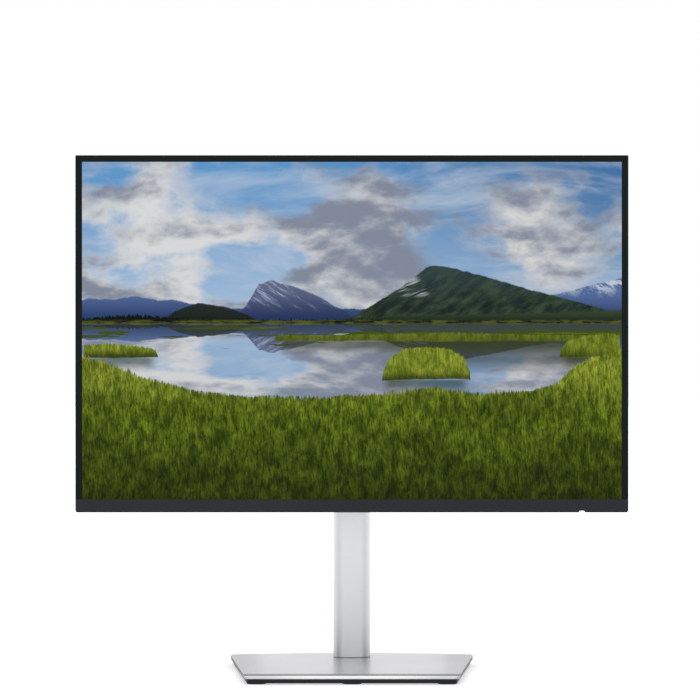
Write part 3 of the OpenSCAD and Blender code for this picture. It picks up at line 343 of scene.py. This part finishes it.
def outline(finish, p, points):
    """The height of a line that runs through (p, height) points."""
    stops = [(at + 0.5, (height, height, height)) for at, height in points]
    colour = finish.add("ShaderNodeValToRGB", {"stops": stops}, {"Fac": p + 0.5})
    return finish.add("ShaderNodeRGBToBW", {}, {0: colour})


def streaks(finish, p, q, across, along, seed, detail=5, rough=0.6, warp=0.0):
    where = finish.point(p * across, q * along, seed)
    return finish.noise(where, 1.0, detail, rough, warp)


# %% Sky
def sky(finish, p, q):
    blue = finish.mix(q.step(0.55, 1.0), paint(150, 180, 212), paint(92, 148, 198))
    right = finish.mix(q.step(0.55, 1.0), paint(138, 168, 200), paint(64, 112, 162))
    blue = finish.mix(p.step(-0.25, 0.5), blue, right)
    veil = streaks(finish, p, q, 2.6, 7.0, 6.1, 7, 0.62, 0.6)
    view = cover(blue, veil.step(0.44, 0.70) * 0.60, paint(196, 206, 218))
    body = streaks(finish, p, q, 4.2, 4.6, 1.3, 10, 0.55, 0.15)
    lower = streaks(finish, p, q + 0.04, 4.2, 4.6, 1.3, 10, 0.55, 0.15)
    tone = outline(finish, p, [(-0.5, 0.55), (-0.30, 0.85), (-0.20, 0.80), (-0.06, 0.25),
                               (0.10, 0.10), (0.24, 0.40), (0.5, 0.40)]) - 0.5
    shade = (lower - body) * 4.6 + 0.50 + tone * q.step(0.98, 0.80)
    cloud = finish.mix(shade.step(0.0, 0.9), paint(128, 136, 154), paint(214, 215, 216))
    warm = q.step(0.90, 0.70) * shade.step(0.55, 0.9) * p.step(-0.3, 0.0) * 0.40
    cloud = cover(cloud, warm, paint(236, 214, 178))
    room = outline(finish, p, [(-0.5, 0.30), (-0.30, 0.26), (-0.21, 0.10), (-0.10, 0.14),
                               (0.03, 0.20), (0.18, 0.10), (0.30, 0.17), (0.5, 0.16)])
    height = q.step(1.05, 0.72) * 0.10
    return cover(view, (body + room + height).step(0.68, 0.80), cloud)


# %% Mountains
def ridge(finish, p, q, points, breaks, size, seed):
    """A mask, 1 below an outline that noise has broken into teeth."""
    teeth = finish.noise(finish.point(p * breaks, seed, 0.0), 1.0, 6, 0.6) - 0.5
    return (outline(finish, p, points) + teeth * size - q).step(-0.002, 0.003)


def mountains(finish, p, q, view):
    far = ridge(finish, p, q, [(-0.5, 0.590), (-0.40, 0.600), (-0.26, 0.575), (-0.18, 0.560),
                               (0.30, 0.575), (0.42, 0.625), (0.5, 0.655)], 26, 0.035, 2.0)
    blue = finish.mix(q.step(0.53, 0.62), paint(40, 62, 104), paint(82, 104, 150))
    crags = streaks(finish, p + q * 0.6, q, 46, 30, 3.0, 6, 0.7)
    snow = crags.step(0.47, 0.60) * q.step(0.59, 0.64) * p.step(0.33, 0.40)
    view = cover(view, far, cover(blue, snow, paint(190, 200, 214)))
    peak = ridge(finish, p, q, [(-0.235, 0.50), (-0.195, 0.575), (-0.172, 0.640), (-0.150, 0.648),
                                (-0.100, 0.628), (-0.060, 0.600), (-0.010, 0.555), (0.02, 0.50)],
                 44, 0.022, 7.0)
    rock = finish.mix(q.step(0.53, 0.65), paint(38, 52, 92), paint(96, 104, 134))
    gullies = streaks(finish, p + q * 0.9, q, 60, 16, 5.0, 6, 0.72)
    rock = cover(rock, gullies.step(0.50, 0.62) * q.step(0.55, 0.62) * 0.75, paint(170, 182, 206))
    view = cover(view, peak, rock)
    hump = ridge(finish, p, q, [(-0.375, 0.50), (-0.33, 0.556), (-0.285, 0.583), (-0.235, 0.570),
                                (-0.19, 0.545), (-0.14, 0.50)], 40, 0.010, 4.0)
    view = cover(view, hump, finish.mix(q.step(0.5, 0.6), paint(20, 26, 24), paint(38, 46, 40)))
    mount = ridge(finish, p, q, [(-0.02, 0.52), (0.03, 0.568), (0.09, 0.628), (0.145, 0.694),
                                 (0.175, 0.690), (0.24, 0.664), (0.33, 0.622), (0.42, 0.585),
                                 (0.5, 0.548)], 50, 0.014, 12.0)
    folds = streaks(finish, p - q * 0.7, q, 34, 20, 8.0, 8, 0.68)
    face = finish.mix(folds.step(0.36, 0.70), paint(24, 36, 34), paint(60, 78, 56))
    face = cover(face, q.step(0.56, 0.70) * 0.50, paint(56, 74, 80))
    scree = streaks(finish, p - q * 1.6, q, 60, 24, 9.0, 5, 0.6).step(0.50, 0.60)
    patch = (abs(p + q * 0.4 - 0.358) * -1 + 0.034).step(0.0, 0.02)
    scree = scree * patch * q.step(0.595, 0.610) * q.step(0.672, 0.655)
    return cover(view, mount, cover(face, scree * 0.85, paint(166, 172, 178)))


# %% Far shore, and the whole view above the water
WATER_LINE = 0.522


def shore(finish, p, q, view):
    hills = ridge(finish, p, q, [(-0.5, 0.500), (-0.05, 0.532), (0.1, 0.545), (0.35, 0.552),
                                 (0.5, 0.562)], 30, 0.012, 15.0)
    view = cover(view, hills, finish.mix(q.step(0.52, 0.56), paint(24, 36, 26), paint(52, 66, 44)))
    trees = finish.noise(finish.point(p * 190, 21.0, 0.0), 1.0, 3, 0.7) * 0.050
    stand = outline(finish, p, [(-0.5, 0.517), (-0.46, 0.524), (-0.40, 0.529), (-0.36, 0.524),
                                (-0.28, 0.514), (0.0, 0.514), (0.2, 0.510), (0.5, 0.511)])
    view = cover(view, (stand + trees - 0.008 - q).step(-0.002, 0.002), paint(14, 20, 16))
    bank = streaks(finish, p, q, 30, 90, 2.0).step(0.4, 0.6) * q.step(0.534, 0.528)
    return cover(view, bank * 0.8, paint(88, 94, 30))


def view_above(finish, p, q):
    return shore(finish, p, q, mountains(finish, p, q, sky(finish, p, q)))


# %% Lake and reeds
def lake(finish, p, q):
    ripple = streaks(finish, p, q, 10, 170, 2.0, 3) - 0.5
    mirrored = 2 * WATER_LINE - q + ripple * 0.012 + (WATER_LINE - q) * 0.45
    water = view_above(finish, p + ripple * 0.004, mirrored)
    water = cover(water, p.step(-0.02, 0.2) * q.step(0.36, 0.42) * 0.75, paint(50, 56, 42))
    return finish.mix(0.12, water, paint(112, 124, 140))


def reeds(finish, p, q, view):
    tips = finish.noise(finish.point(p * 260, q * 6, 3.0), 1.0, 3, 0.7) - 0.5
    wander = streaks(finish, p, q, 9, 26, 5.0, 5) - 0.5
    flats = streaks(finish, p, q, 5, 46, 11.0, 4)
    bars = (flats + q.step(0.42, 0.50) * 0.06 + p.step(-0.1, 0.3) * 0.03).step(0.60, 0.63)
    bars = bars * q.step(0.516, 0.506) * q.step(0.43, 0.46)
    moss = finish.mix(flats.step(0.60, 0.70), paint(62, 78, 20), paint(104, 118, 36))
    view = cover(view, bars, moss)
    blades = streaks(finish, p + q * 0.03, q, 330, 34, 7.0, 4, 0.8, 0.6)
    tufts = streaks(finish, p, q, 70, 20, 9.0, 6, 0.7, 0.4)
    patches = streaks(finish, p, q, 9, 9, 13.0, 3)
    bright = finish.mix(tufts.step(0.35, 0.7), paint(104, 122, 26), paint(166, 178, 62))
    for centre, half, top, foot, age in REED_BEDS:
        inside = (abs(p - centre) * -1 + half).step(-0.005, 0.02)
        image = inside * q.step(foot + 0.004, foot - 0.002) * q.step(foot - 0.045, foot - 0.01)
        view = cover(view, image * 0.7, paint(52, 60, 24))
        crown = outline(finish, p, [
            (centre - half * 1.04, foot - 0.06), (centre - half, foot + 0.02),
            (centre - half * 0.85, top - (top - foot) * 0.35), (centre - half * 0.5, top - 0.007),
            (centre, top), (centre + half * 0.5, top - 0.006),
            (centre + half * 0.85, top - (top - foot) * 0.30), (centre + half, foot + 0.02),
            (centre + half * 1.04, foot - 0.06)])
        up = (crown + tips * 0.022 - q).step(-0.002, 0.002)
        bed = up * (q + wander * 0.02).step(foot - 0.001, foot + 0.004)
        under = bed * q.step(foot + 0.035, foot)
        dark = blades.step(0.7, 0.3) * (0.65 - age) + age
        view = cover(view, bed, cover(bright, dark, paint(44, 58, 10)))
        view = cover(view, under * (0.85 - age), paint(26, 36, 10))
    edge = outline(finish, p, [(-0.5, 0.425), (-0.45, 0.400), (-0.38, 0.355), (-0.30, 0.325),
                               (-0.20, 0.305), (-0.05, 0.302), (0.06, 0.315), (0.15, 0.330),
                               (0.24, 0.312), (0.33, 0.318), (0.385, 0.350), (0.42, 0.405),
                               (0.5, 0.450)])
    field = (edge + tips * 0.045 + wander * 0.04 - q).step(-0.003, 0.003)
    near = finish.mix(tufts.step(0.35, 0.7), paint(64, 84, 12), paint(128, 150, 34))
    grass = finish.mix(q.step(0.40, 0.24), bright, near)
    light = blades.step(0.30, 0.70) + 0.28
    depth = outline(finish, q - 0.5, [(-0.5, 0.26), (-0.42, 0.42), (-0.30, 0.78), (-0.1, 1.0)])
    shadow = (patches.step(0.35, 0.6) * 0.35 + 0.65) * light * depth
    grass = finish.mix(shadow.math("MINIMUM", 1.0), paint(6, 10, 4), grass)
    return cover(view, field, grass)


# Each bed: middle and half width in p, top and foot in q, and how far its green has dulled.
REED_BEDS = [(0.17, 0.31, 0.494, 0.468, 0.5), (-0.455, 0.095, 0.462, 0.418, 0.0),
             (0.475, 0.09, 0.492, 0.420, 0.25), (0.138, 0.082, 0.452, 0.352, 0.0)]


# %% The whole picture
def landscape():
    finish = Finish("lit_picture")
    x, _, z = finish.axes()
    p = x / SCREEN_W
    q = (z - SCREEN_LOW_Z) / SCREEN_H
    picture = view_above(finish, p, q)
    below = q.step(WATER_LINE + 0.001, WATER_LINE - 0.001)
    picture = reeds(finish, p, q, cover(picture, below, lake(finish, p, q)))
    outside = (abs(p) * SCREEN_W - SCREEN_HALF_W).step(-0.00002, 0.00002)
    picture = cover(picture, outside, paint(4, 4, 4))
    grain = finish.noise(finish.place, 2200, 1) * 0.1
    return finish.set(Base_Color=(0.001, 0.001, 0.0015), Roughness=grain + 0.3,
                      Specular_IOR_Level=0.02, Emission_Color=picture, Emission_Strength=1.0)


PICTURE = landscape()
print("picture nodes:", len(PICTURE.node_tree.nodes))


# %% The power light
def power_light():
    finish = Finish("power_light")
    hot = finish.noise(finish.place, 500, 1) * 0.2 + 0.8
    return finish.set(Base_Color=(0.9, 0.93, 1.0), Roughness=0.25,
                      Emission_Color=finish.mix(hot, (0.7, 0.8, 1.0), (1.0, 1.0, 1.0)),
                      Emission_Strength=3.0)


LIGHT = power_light()

# %% [markdown]
# ## Softened copies of the covers
#
# No moulded or pressed part has knife edges, and the light that runs along a rounded edge is
# what makes a shape look real. Each visible cover is copied from its CAD node, its triangles
# are dissolved back into flat faces, and a Bevel modifier rounds the edges that turn sharply.
# The bevel only takes material away, so the piece keeps its size.


# %% Copy and clean
SLOT = {part["node"]: part["material_slot"] for part in frame["record"]["subparts"]}


def clean_copy(node, ending, material):
    """A merged copy of a CAD node that stands for it, with its flat faces whole again."""
    source = frame["nodes"][node]
    mesh = bmesh.new()
    mesh.from_mesh(source.data)
    bmesh.ops.transform(mesh, matrix=source.matrix_world, verts=mesh.verts)
    bmesh.ops.remove_doubles(mesh, verts=mesh.verts, dist=0.01 * MM)
    bmesh.ops.dissolve_limit(mesh, angle_limit=math.radians(1.5), verts=mesh.verts,
                             edges=mesh.edges, delimit={"NORMAL"})
    data = bpy.data.meshes.new(node + ending)
    mesh.to_mesh(data)
    mesh.free()
    piece = bpy.data.objects.new(node + ending, data)
    bpy.context.collection.objects.link(piece)
    data.materials.append(material)
    for face in data.polygons:
        face.use_smooth = True
        face.material_index = 0
    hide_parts(node)
    return piece


# %% Bevel
SHARP = math.radians(28)


def weigh_edges(piece, chosen):
    """Marks the sharp outer edges whose middle is chosen, so that only they are bevelled."""
    mesh = bmesh.new()
    mesh.from_mesh(piece.data)
    weight = mesh.edges.layers.float.new("bevel_weight_edge")
    for edge in mesh.edges:
        middle = (edge.verts[0].co + edge.verts[1].co) / 2
        if edge.is_convex and edge.calc_face_angle(0) > SHARP and chosen(middle):
            edge[weight] = 1
    mesh.to_mesh(piece.data)
    mesh.free()


def softened(node, width, material, chosen=None, segments=3):
    piece = clean_copy(node, "_soft", material)
    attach(piece, NODE_BODY[node])
    if chosen:
        weigh_edges(piece, chosen)
    bevel = piece.modifiers.new("rounded_edges", "BEVEL")
    bevel.width = width
    bevel.segments = segments
    bevel.limit_method = "WEIGHT" if chosen else "ANGLE"
    bevel.angle_limit = SHARP
    bevel.use_clamp_overlap = True
    flats = piece.modifiers.new("flat_faces", "WEIGHTED_NORMAL")
    flats.weight = 100
    flats.keep_sharp = True
    return piece


SHELL_LOW, SHELL_HIGH = low("rear_cover"), high("rear_cover")
RIM = 3 * MM
RIM_BACK_Y = -18 * MM
BAY_SIDES_X = (133 * MM, 152 * MM)
BAY_FACE_X = 140 * MM
RECESS_Z = (246 * MM, 398 * MM)


def on_the_shell(at):
    """The rear cover's rim and the corners of its bay, but none of its slots and holes."""
    outline_edge = (abs(at.x) > SHELL_HIGH.x - RIM or at.z > SHELL_HIGH.z - RIM
                    or at.z < SHELL_LOW.z + RIM)
    rim = at.y < RIM_BACK_Y and outline_edge
    bay_side = BAY_SIDES_X[0] < abs(at.x) < BAY_SIDES_X[1] and at.y > RIM_BACK_Y
    bay_end = (abs(at.x) < BAY_FACE_X and at.y > SHELL_HIGH.y - 0.5 * MM
               and not RECESS_Z[0] < at.z < RECESS_Z[1])
    return rim or bay_side or bay_end


piece = softened("rear_cover", 1.4 * MM, SHADED_SILVER, on_the_shell, 4)
print("rear_cover softened:", len(piece.data.polygons), "faces")
COVERS = {
    "front_frame": (0.35 * MM, BEZEL), "bottom_bezel": (0.45 * MM, SLATE),
    "base_top_cover": (0.55 * MM, BASE_SILVER), "base_underside": (0.5 * MM, BLACK),
    "column_front_cover": (0.35 * MM, SILVER),
    "column_rear_cover": (0.35 * MM, SHADED_SILVER), "column_top_cap": (0.6 * MM, SILVER),
    "hinge_covers": (0.6 * MM, BLACK), "quick_release_plate": (0.5 * MM, DARK_STEEL),
    "release_slider": (0.4 * MM, BLACK), "tilt_bracket": (0.4 * MM, DARK_STEEL),
    "lift_carriage": (0.4 * MM, DARK_STEEL), "joystick_cap": (0.5 * MM, BLACK),
    "power_key": (0.25 * MM, BLACK), "rubber_feet": (0.4 * MM, RUBBER),
}
for name, (width, material) in COVERS.items():
    piece = softened(name, width, material)
    print(name, "softened:", len(piece.data.polygons), "faces")

# %% [markdown]
# ## The two springs
#
# Two springs are merged copies of their CAD nodes in zinc. The flat band runs from the drum down to
# the carriage; its copy stays fixed in place. The small coil under the release slider sits against
# the display, and its copy moves with the display.

# %% Band and release spring
band = clean_copy("spring_band", "_drawn", ZINC)
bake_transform(band)
coil = clean_copy("release_spring", "_wound", ZINC)
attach(coil, "display")
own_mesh(coil)

# %% [markdown]
# ## Finishes for the other CAD nodes
#
# Everything else keeps its exact CAD shape and only changes its material.

# %% Finish by node
FINISHES = {
    ZINC: ["base_plate", "base_screws", "swivel_retainer", "swivel_screws", "column_core",
           "spring_coil", "pivot_retainer", "pivot_screws",
           "rear_cover_screws", "vesa_bracket", "chassis_plate", "board_screws", "panel_tray",
           "signal_ports"],
    SHAFT_STEEL: ["drum_axle", "tilt_shaft", "friction_discs", "tilt_nuts"],
    DARK_STEEL: ["swivel_hub"], ACETAL: ["swivel_washers", "carriage_glides", "pivot_washer",
                                         "spring_drum"],
    BRASS: ["vesa_inserts"], BOARD: ["power_board", "main_board", "driver_board", "button_board"],
    TAPE: ["power_transformer"], CAN: ["power_capacitors"], CHIP: ["main_chips"],
    FILM: ["optical_films", "led_bar", "display_ribbon"], ACRYLIC: ["light_guide"],
    BLACK: ["panel_frame", "lift_stop", "power_inlet", "joystick_gimbal", "joystick_stem"],
    PICTURE: ["lcd_glass"], LIGHT: ["power_light_guide"],
}
for material, names in FINISHES.items():
    for name in names:
        for slot in frame["nodes"][name].material_slots:
            slot.material = material
print("finished nodes:", sum(len(names) for names in FINISHES.values()))

# %% [markdown]
# ## Small details that repeat
#
# Ridges, slats and screw sockets are the same little shape many times over. A Geometry Nodes
# tree draws the shape once from named sizes and sets it on a list of places, so a change of size
# is one number. The result is turned into a plain mesh before it joins the model, because
# instances don't survive an export.


# %% A Geometry Nodes tree under construction
class Recipe:
    def __init__(self, name):
        self.tree = bpy.data.node_groups.new(name, "GeometryNodeTree")
        for way in ("INPUT", "OUTPUT"):
            self.tree.interface.new_socket("Geometry", in_out=way, socket_type="NodeSocketGeometry")
        self.start = self.tree.nodes.new("NodeGroupInput")
        self.end = self.tree.nodes.new("NodeGroupOutput")

    def ask(self, name, kind):
        self.tree.interface.new_socket(name, in_out="INPUT", socket_type="NodeSocket" + kind)
        return self.start.outputs[name]

    def add(self, kind, settings, values, output=0):
        node = self.tree.nodes.new(kind)
        for key, value in settings.items():
            setattr(node, key, value)
        for key, value in values.items():
            if isinstance(value, bpy.types.NodeSocket):
                self.tree.links.new(value, node.inputs[key])
            else:
                node.inputs[key].default_value = value
        return node.outputs[output]

    def set_out(self, shape):
        """Puts the shape, turned, on every place, and ends the tree."""
        placed = self.add("GeometryNodeInstanceOnPoints", {}, {
            "Points": self.start.outputs["Geometry"], "Instance": shape,
            "Rotation": self.ask("Turn", "Vector")})
        real = self.add("GeometryNodeRealizeInstances", {}, {0: placed})
        coat = self.ask("Finish", "Material")
        done = self.add("GeometryNodeSetMaterial", {}, {"Geometry": real, "Material": coat})
        self.tree.links.new(done, self.end.inputs[0])


def planted(name, recipe, places, body, slot, **sizes):
    data = bpy.data.meshes.new(name + "_places")
    data.from_pydata(places, [], [])
    holder = bpy.data.objects.new(name + "_places", data)
    bpy.context.collection.objects.link(holder)
    grow = holder.modifiers.new("grow", "NODES")
    grow.node_group = recipe.tree
    for item in recipe.tree.interface.items_tree:
        if item.in_out == "INPUT" and item.name in sizes:
            grow[item.identifier] = sizes[item.name]
    graph = bpy.context.evaluated_depsgraph_get()
    mesh = bpy.data.meshes.new_from_object(holder.evaluated_get(graph))
    holder.modifiers.remove(grow)
    bpy.data.objects.remove(holder)
    piece = bpy.data.objects.new(name, mesh)
    bpy.context.collection.objects.link(piece)
    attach(piece, body)
    print(name, "places:", len(places), "faces:", len(mesh.polygons))


# %% Slats, pegs and rings of ribs
def slat_recipe():
    recipe = Recipe("slats")
    recipe.set_out(recipe.add("GeometryNodeMeshCube", {}, {"Size": recipe.ask("Size", "Vector")}))
    return recipe


def peg_recipe():
    recipe = Recipe("pegs")
    recipe.set_out(recipe.add("GeometryNodeMeshCylinder", {}, {
        "Vertices": recipe.ask("Sides", "Int"), "Radius": recipe.ask("Radius", "Float"),
        "Depth": recipe.ask("Length", "Float")}))
    return recipe


def rib_ring_recipe():
    recipe = Recipe("rings_of_ribs")
    count = recipe.ask("Count", "Int")
    ring = recipe.add("GeometryNodeMeshCircle", {}, {
        "Vertices": count, "Radius": recipe.ask("Radius", "Float")})
    turn = recipe.add("ShaderNodeMath", {"operation": "DIVIDE"}, {0: 2 * math.pi, 1: count})
    index = recipe.add("GeometryNodeInputIndex", {}, {})
    angle = recipe.add("ShaderNodeMath", {"operation": "MULTIPLY"}, {0: index, 1: turn})
    spin = recipe.add("ShaderNodeCombineXYZ", {}, {2: angle})
    rib = recipe.add("GeometryNodeMeshCube", {}, {"Size": recipe.ask("Rib", "Vector")})
    recipe.set_out(recipe.add("GeometryNodeInstanceOnPoints", {}, {
        "Points": ring, "Instance": rib, "Rotation": spin}))
    return recipe


SLATS, PEGS, RIB_RINGS = slat_recipe(), peg_recipe(), rib_ring_recipe()
FACE_BACK = (math.radians(-90), 0, 0)
print("recipes:", len(bpy.data.node_groups))

# %% [markdown]
# ## Details at the back of the display
#
# The release slider has ridges for the thumb, the control stick's cap has short grip ribs, each
# cover screw head gets a thin dark hexagon, painted shade for its socket, and a dark dust grille
# lies under the cooling slots.

# %% Thumb ridges and grip ribs
RIDGES, FIRST_RIDGE, RIDGE_STEP = 5, 2.6 * MM, 2.3 * MM
slider_low, slider_high = low("release_slider"), high("release_slider")
ridge_z = [slider_low.z + FIRST_RIDGE + RIDGE_STEP * i for i in range(RIDGES)]
planted("thumb_ridges", PEGS, [(0, slider_high.y, z) for z in ridge_z], "release_body",
        SLOT["release_slider"], Sides=12, Radius=0.5 * MM, Length=19 * MM,
        Turn=(0, math.radians(90), 0), Finish=BLACK)
cap_middle = (low("joystick_cap") + high("joystick_cap")) / 2
planted("cap_ribs", RIB_RINGS, [(cap_middle.x, high("joystick_cap").y, cap_middle.z)],
        "joystick_cap_body", SLOT["joystick_cap"], Count=12, Radius=3.0 * MM,
        Rib=(1.8 * MM, 0.45 * MM, 0.5 * MM), Turn=FACE_BACK, Finish=BLACK)

# %% Painted shade for the screw sockets
def socket_shades(name, node, head_r, across, body):
    """Thin dark hexagons on the four screw heads at the corners of a node's box, facing back:
    painted shade for the screw sockets.
    """
    first, last = low(node), high(node)
    places = [(x, last.y, z) for x in (first.x + head_r, last.x - head_r)
              for z in (first.z + head_r, last.z - head_r)]
    # Painted shade: a thin black hexagon stands in for each socket's shaded hollow.
    planted(name, PEGS, places, body, SLOT[node], Sides=6, Radius=across / 2,
            Length=0.12 * MM, Turn=FACE_BACK, Finish=BLACK)


socket_shades("cover_screw_sockets", "rear_cover_screws", 2.8 * MM, 2.9 * MM, "display")

# %% Dust grille under the cooling slots
BAY_TOP_LEAN = math.atan2(14.0, 33.8)
GRILLE_ABOVE, GRILLE_FRONT_Y = 79.2 * MM, -21.8 * MM
SLATS_DOWN, FIRST_SLAT_Y, SLAT_STEP = 8, -13 * MM, 2.4 * MM
inserts_middle = (low("vesa_inserts") + high("vesa_inserts")) / 2
grille_top = inserts_middle.z + GRILLE_ABOVE
grille_y = [FIRST_SLAT_Y + SLAT_STEP * i for i in range(SLATS_DOWN)]
grille = [(0, y, grille_top - (y - GRILLE_FRONT_Y) * math.tan(BAY_TOP_LEAN)) for y in grille_y]
planted("dust_grille", SLATS, grille, "display", SLOT["rear_cover"],
        Size=(252 * MM, 0.7 * MM, 0.5 * MM), Turn=(-BAY_TOP_LEAN, 0, 0), Finish=BLACK)

# %% [markdown]
# ## A plain studio
#
# The stand is all soft metal, so its shading is mostly what it mirrors. The world is built like a
# product studio: bright straight ahead and behind, darker between, so that a rounded cheek turns
# from light to dark and back. The floor is pale and wide, with no wall to hide the other sides.


# %% Floor
FLOOR_HALF = 12.0
FLOOR_GLOW = 0.50


def pale_floor():
    half = FLOOR_HALF
    data = bpy.data.meshes.new("pale_floor")
    corners = [(-half, -half, 0), (half, -half, 0), (half, half, 0), (-half, half, 0)]
    data.from_pydata(corners, [], [(0, 1, 2, 3)])
    floor = bpy.data.objects.new("pale_floor", data)
    bpy.context.collection.objects.link(floor)
    finish = Finish("pale_floor")
    cells = finish.noise(finish.place, 60, 2)
    paper = finish.mix(cells, (0.84, 0.84, 0.84), (0.86, 0.86, 0.86))
    x, y, _ = finish.axes()
    away = (x * x + y * y).step(0.05, 1.4)
    data.materials.append(finish.set(
        Base_Color=paper, Roughness=0.7, Specular_IOR_Level=0.1,
        Emission_Color=finish.mix(away, (FLOOR_GLOW,) * 3, (0.95, 0.95, 0.95)),
        Emission_Strength=1.0))


pale_floor()


# %% Lights
def soft_light(name, place, aim, size, power):
    lamp = bpy.data.lights.new(name, "AREA")
    lamp.shape = "RECTANGLE"
    lamp.size, lamp.size_y = size
    lamp.energy = power
    holder = bpy.data.objects.new(name, lamp)
    bpy.context.collection.objects.link(holder)
    holder.location = place
    holder.visible_camera = False
    holder.rotation_euler = (Vector(aim) - Vector(place)).to_track_quat("-Z", "Y").to_euler()


soft_light("side_left", (-2.0, 0.9, 0.9), (0, 0, 0.25), (0.8, 1.4), 2.6)
soft_light("side_right", (2.0, 0.9, 0.9), (0, 0, 0.25), (0.8, 1.4), 2.6)
soft_light("behind_base", (0, 0.55, 0.10), (0, -0.09, 0.01), (0.22, 0.12), 0.026)
soft_light("overhead", (0, -0.4, 2.2), (0, 0, 0), (2.4, 1.8), 20)
print("lights:", len(bpy.data.lights))


# %% World: bright ahead, behind and above, darker between
def studio_world():
    world = bpy.data.worlds.new("studio")
    bpy.context.scene.world = world
    world.use_nodes = True
    tree = world.node_tree
    where = tree.nodes.new("ShaderNodeTexCoord")
    split = tree.nodes.new("ShaderNodeSeparateXYZ")
    ramp = tree.nodes.new("ShaderNodeValToRGB")
    seen = tree.nodes.new("ShaderNodeLightPath")
    mix = tree.nodes.new("ShaderNodeMix")
    mix.data_type = "RGBA"
    shift = tree.nodes.new("ShaderNodeMath")
    shift.operation = "MULTIPLY_ADD"
    shift.inputs[1].default_value = 0.5
    shift.inputs[2].default_value = 0.5
    tree.links.new(where.outputs["Generated"], split.inputs[0])
    tree.links.new(split.outputs[1], shift.inputs[0])
    tree.links.new(shift.outputs[0], ramp.inputs[0])
    stops = [(0.0, 1.05), (0.06, 0.95), (0.17, 0.22), (0.44, 0.20), (0.60, 0.55), (1.0, 0.72)]
    while len(ramp.color_ramp.elements) < len(stops):
        ramp.color_ramp.elements.new(0.5)
    for element, (at, value) in zip(ramp.color_ramp.elements, stops):
        element.position = at
        element.color = (value, value, value * 1.01, 1)
    tree.links.new(ramp.outputs[0], mix.inputs[6])
    mix.inputs[7].default_value = (1.0, 1.0, 1.0, 1)
    tree.links.new(seen.outputs["Is Camera Ray"], mix.inputs[0])
    tree.links.new(mix.outputs[2], tree.nodes["Background"].inputs["Color"])
    tree.nodes["Background"].inputs["Strength"].default_value = 1.0


studio_world()
bpy.context.scene.view_settings.view_transform = "Standard"
bpy.context.scene.view_settings.look = "None"

# %% Camera, level and in front of the stand
CAMERA_SIDE, CAMERA_AWAY, CAMERA_UP = -0.0018, 2.569, 0.314
camera = bpy.data.objects.new("camera", bpy.data.cameras.new("camera"))
bpy.context.collection.objects.link(camera)
camera.data.sensor_width = 36
camera.data.lens = 136
camera.location = (CAMERA_SIDE, -CAMERA_AWAY, CAMERA_UP)
camera.rotation_euler = (math.radians(90), 0, 0)
bpy.context.scene.camera = camera
print("camera at", tuple(round(v, 3) for v in camera.location))
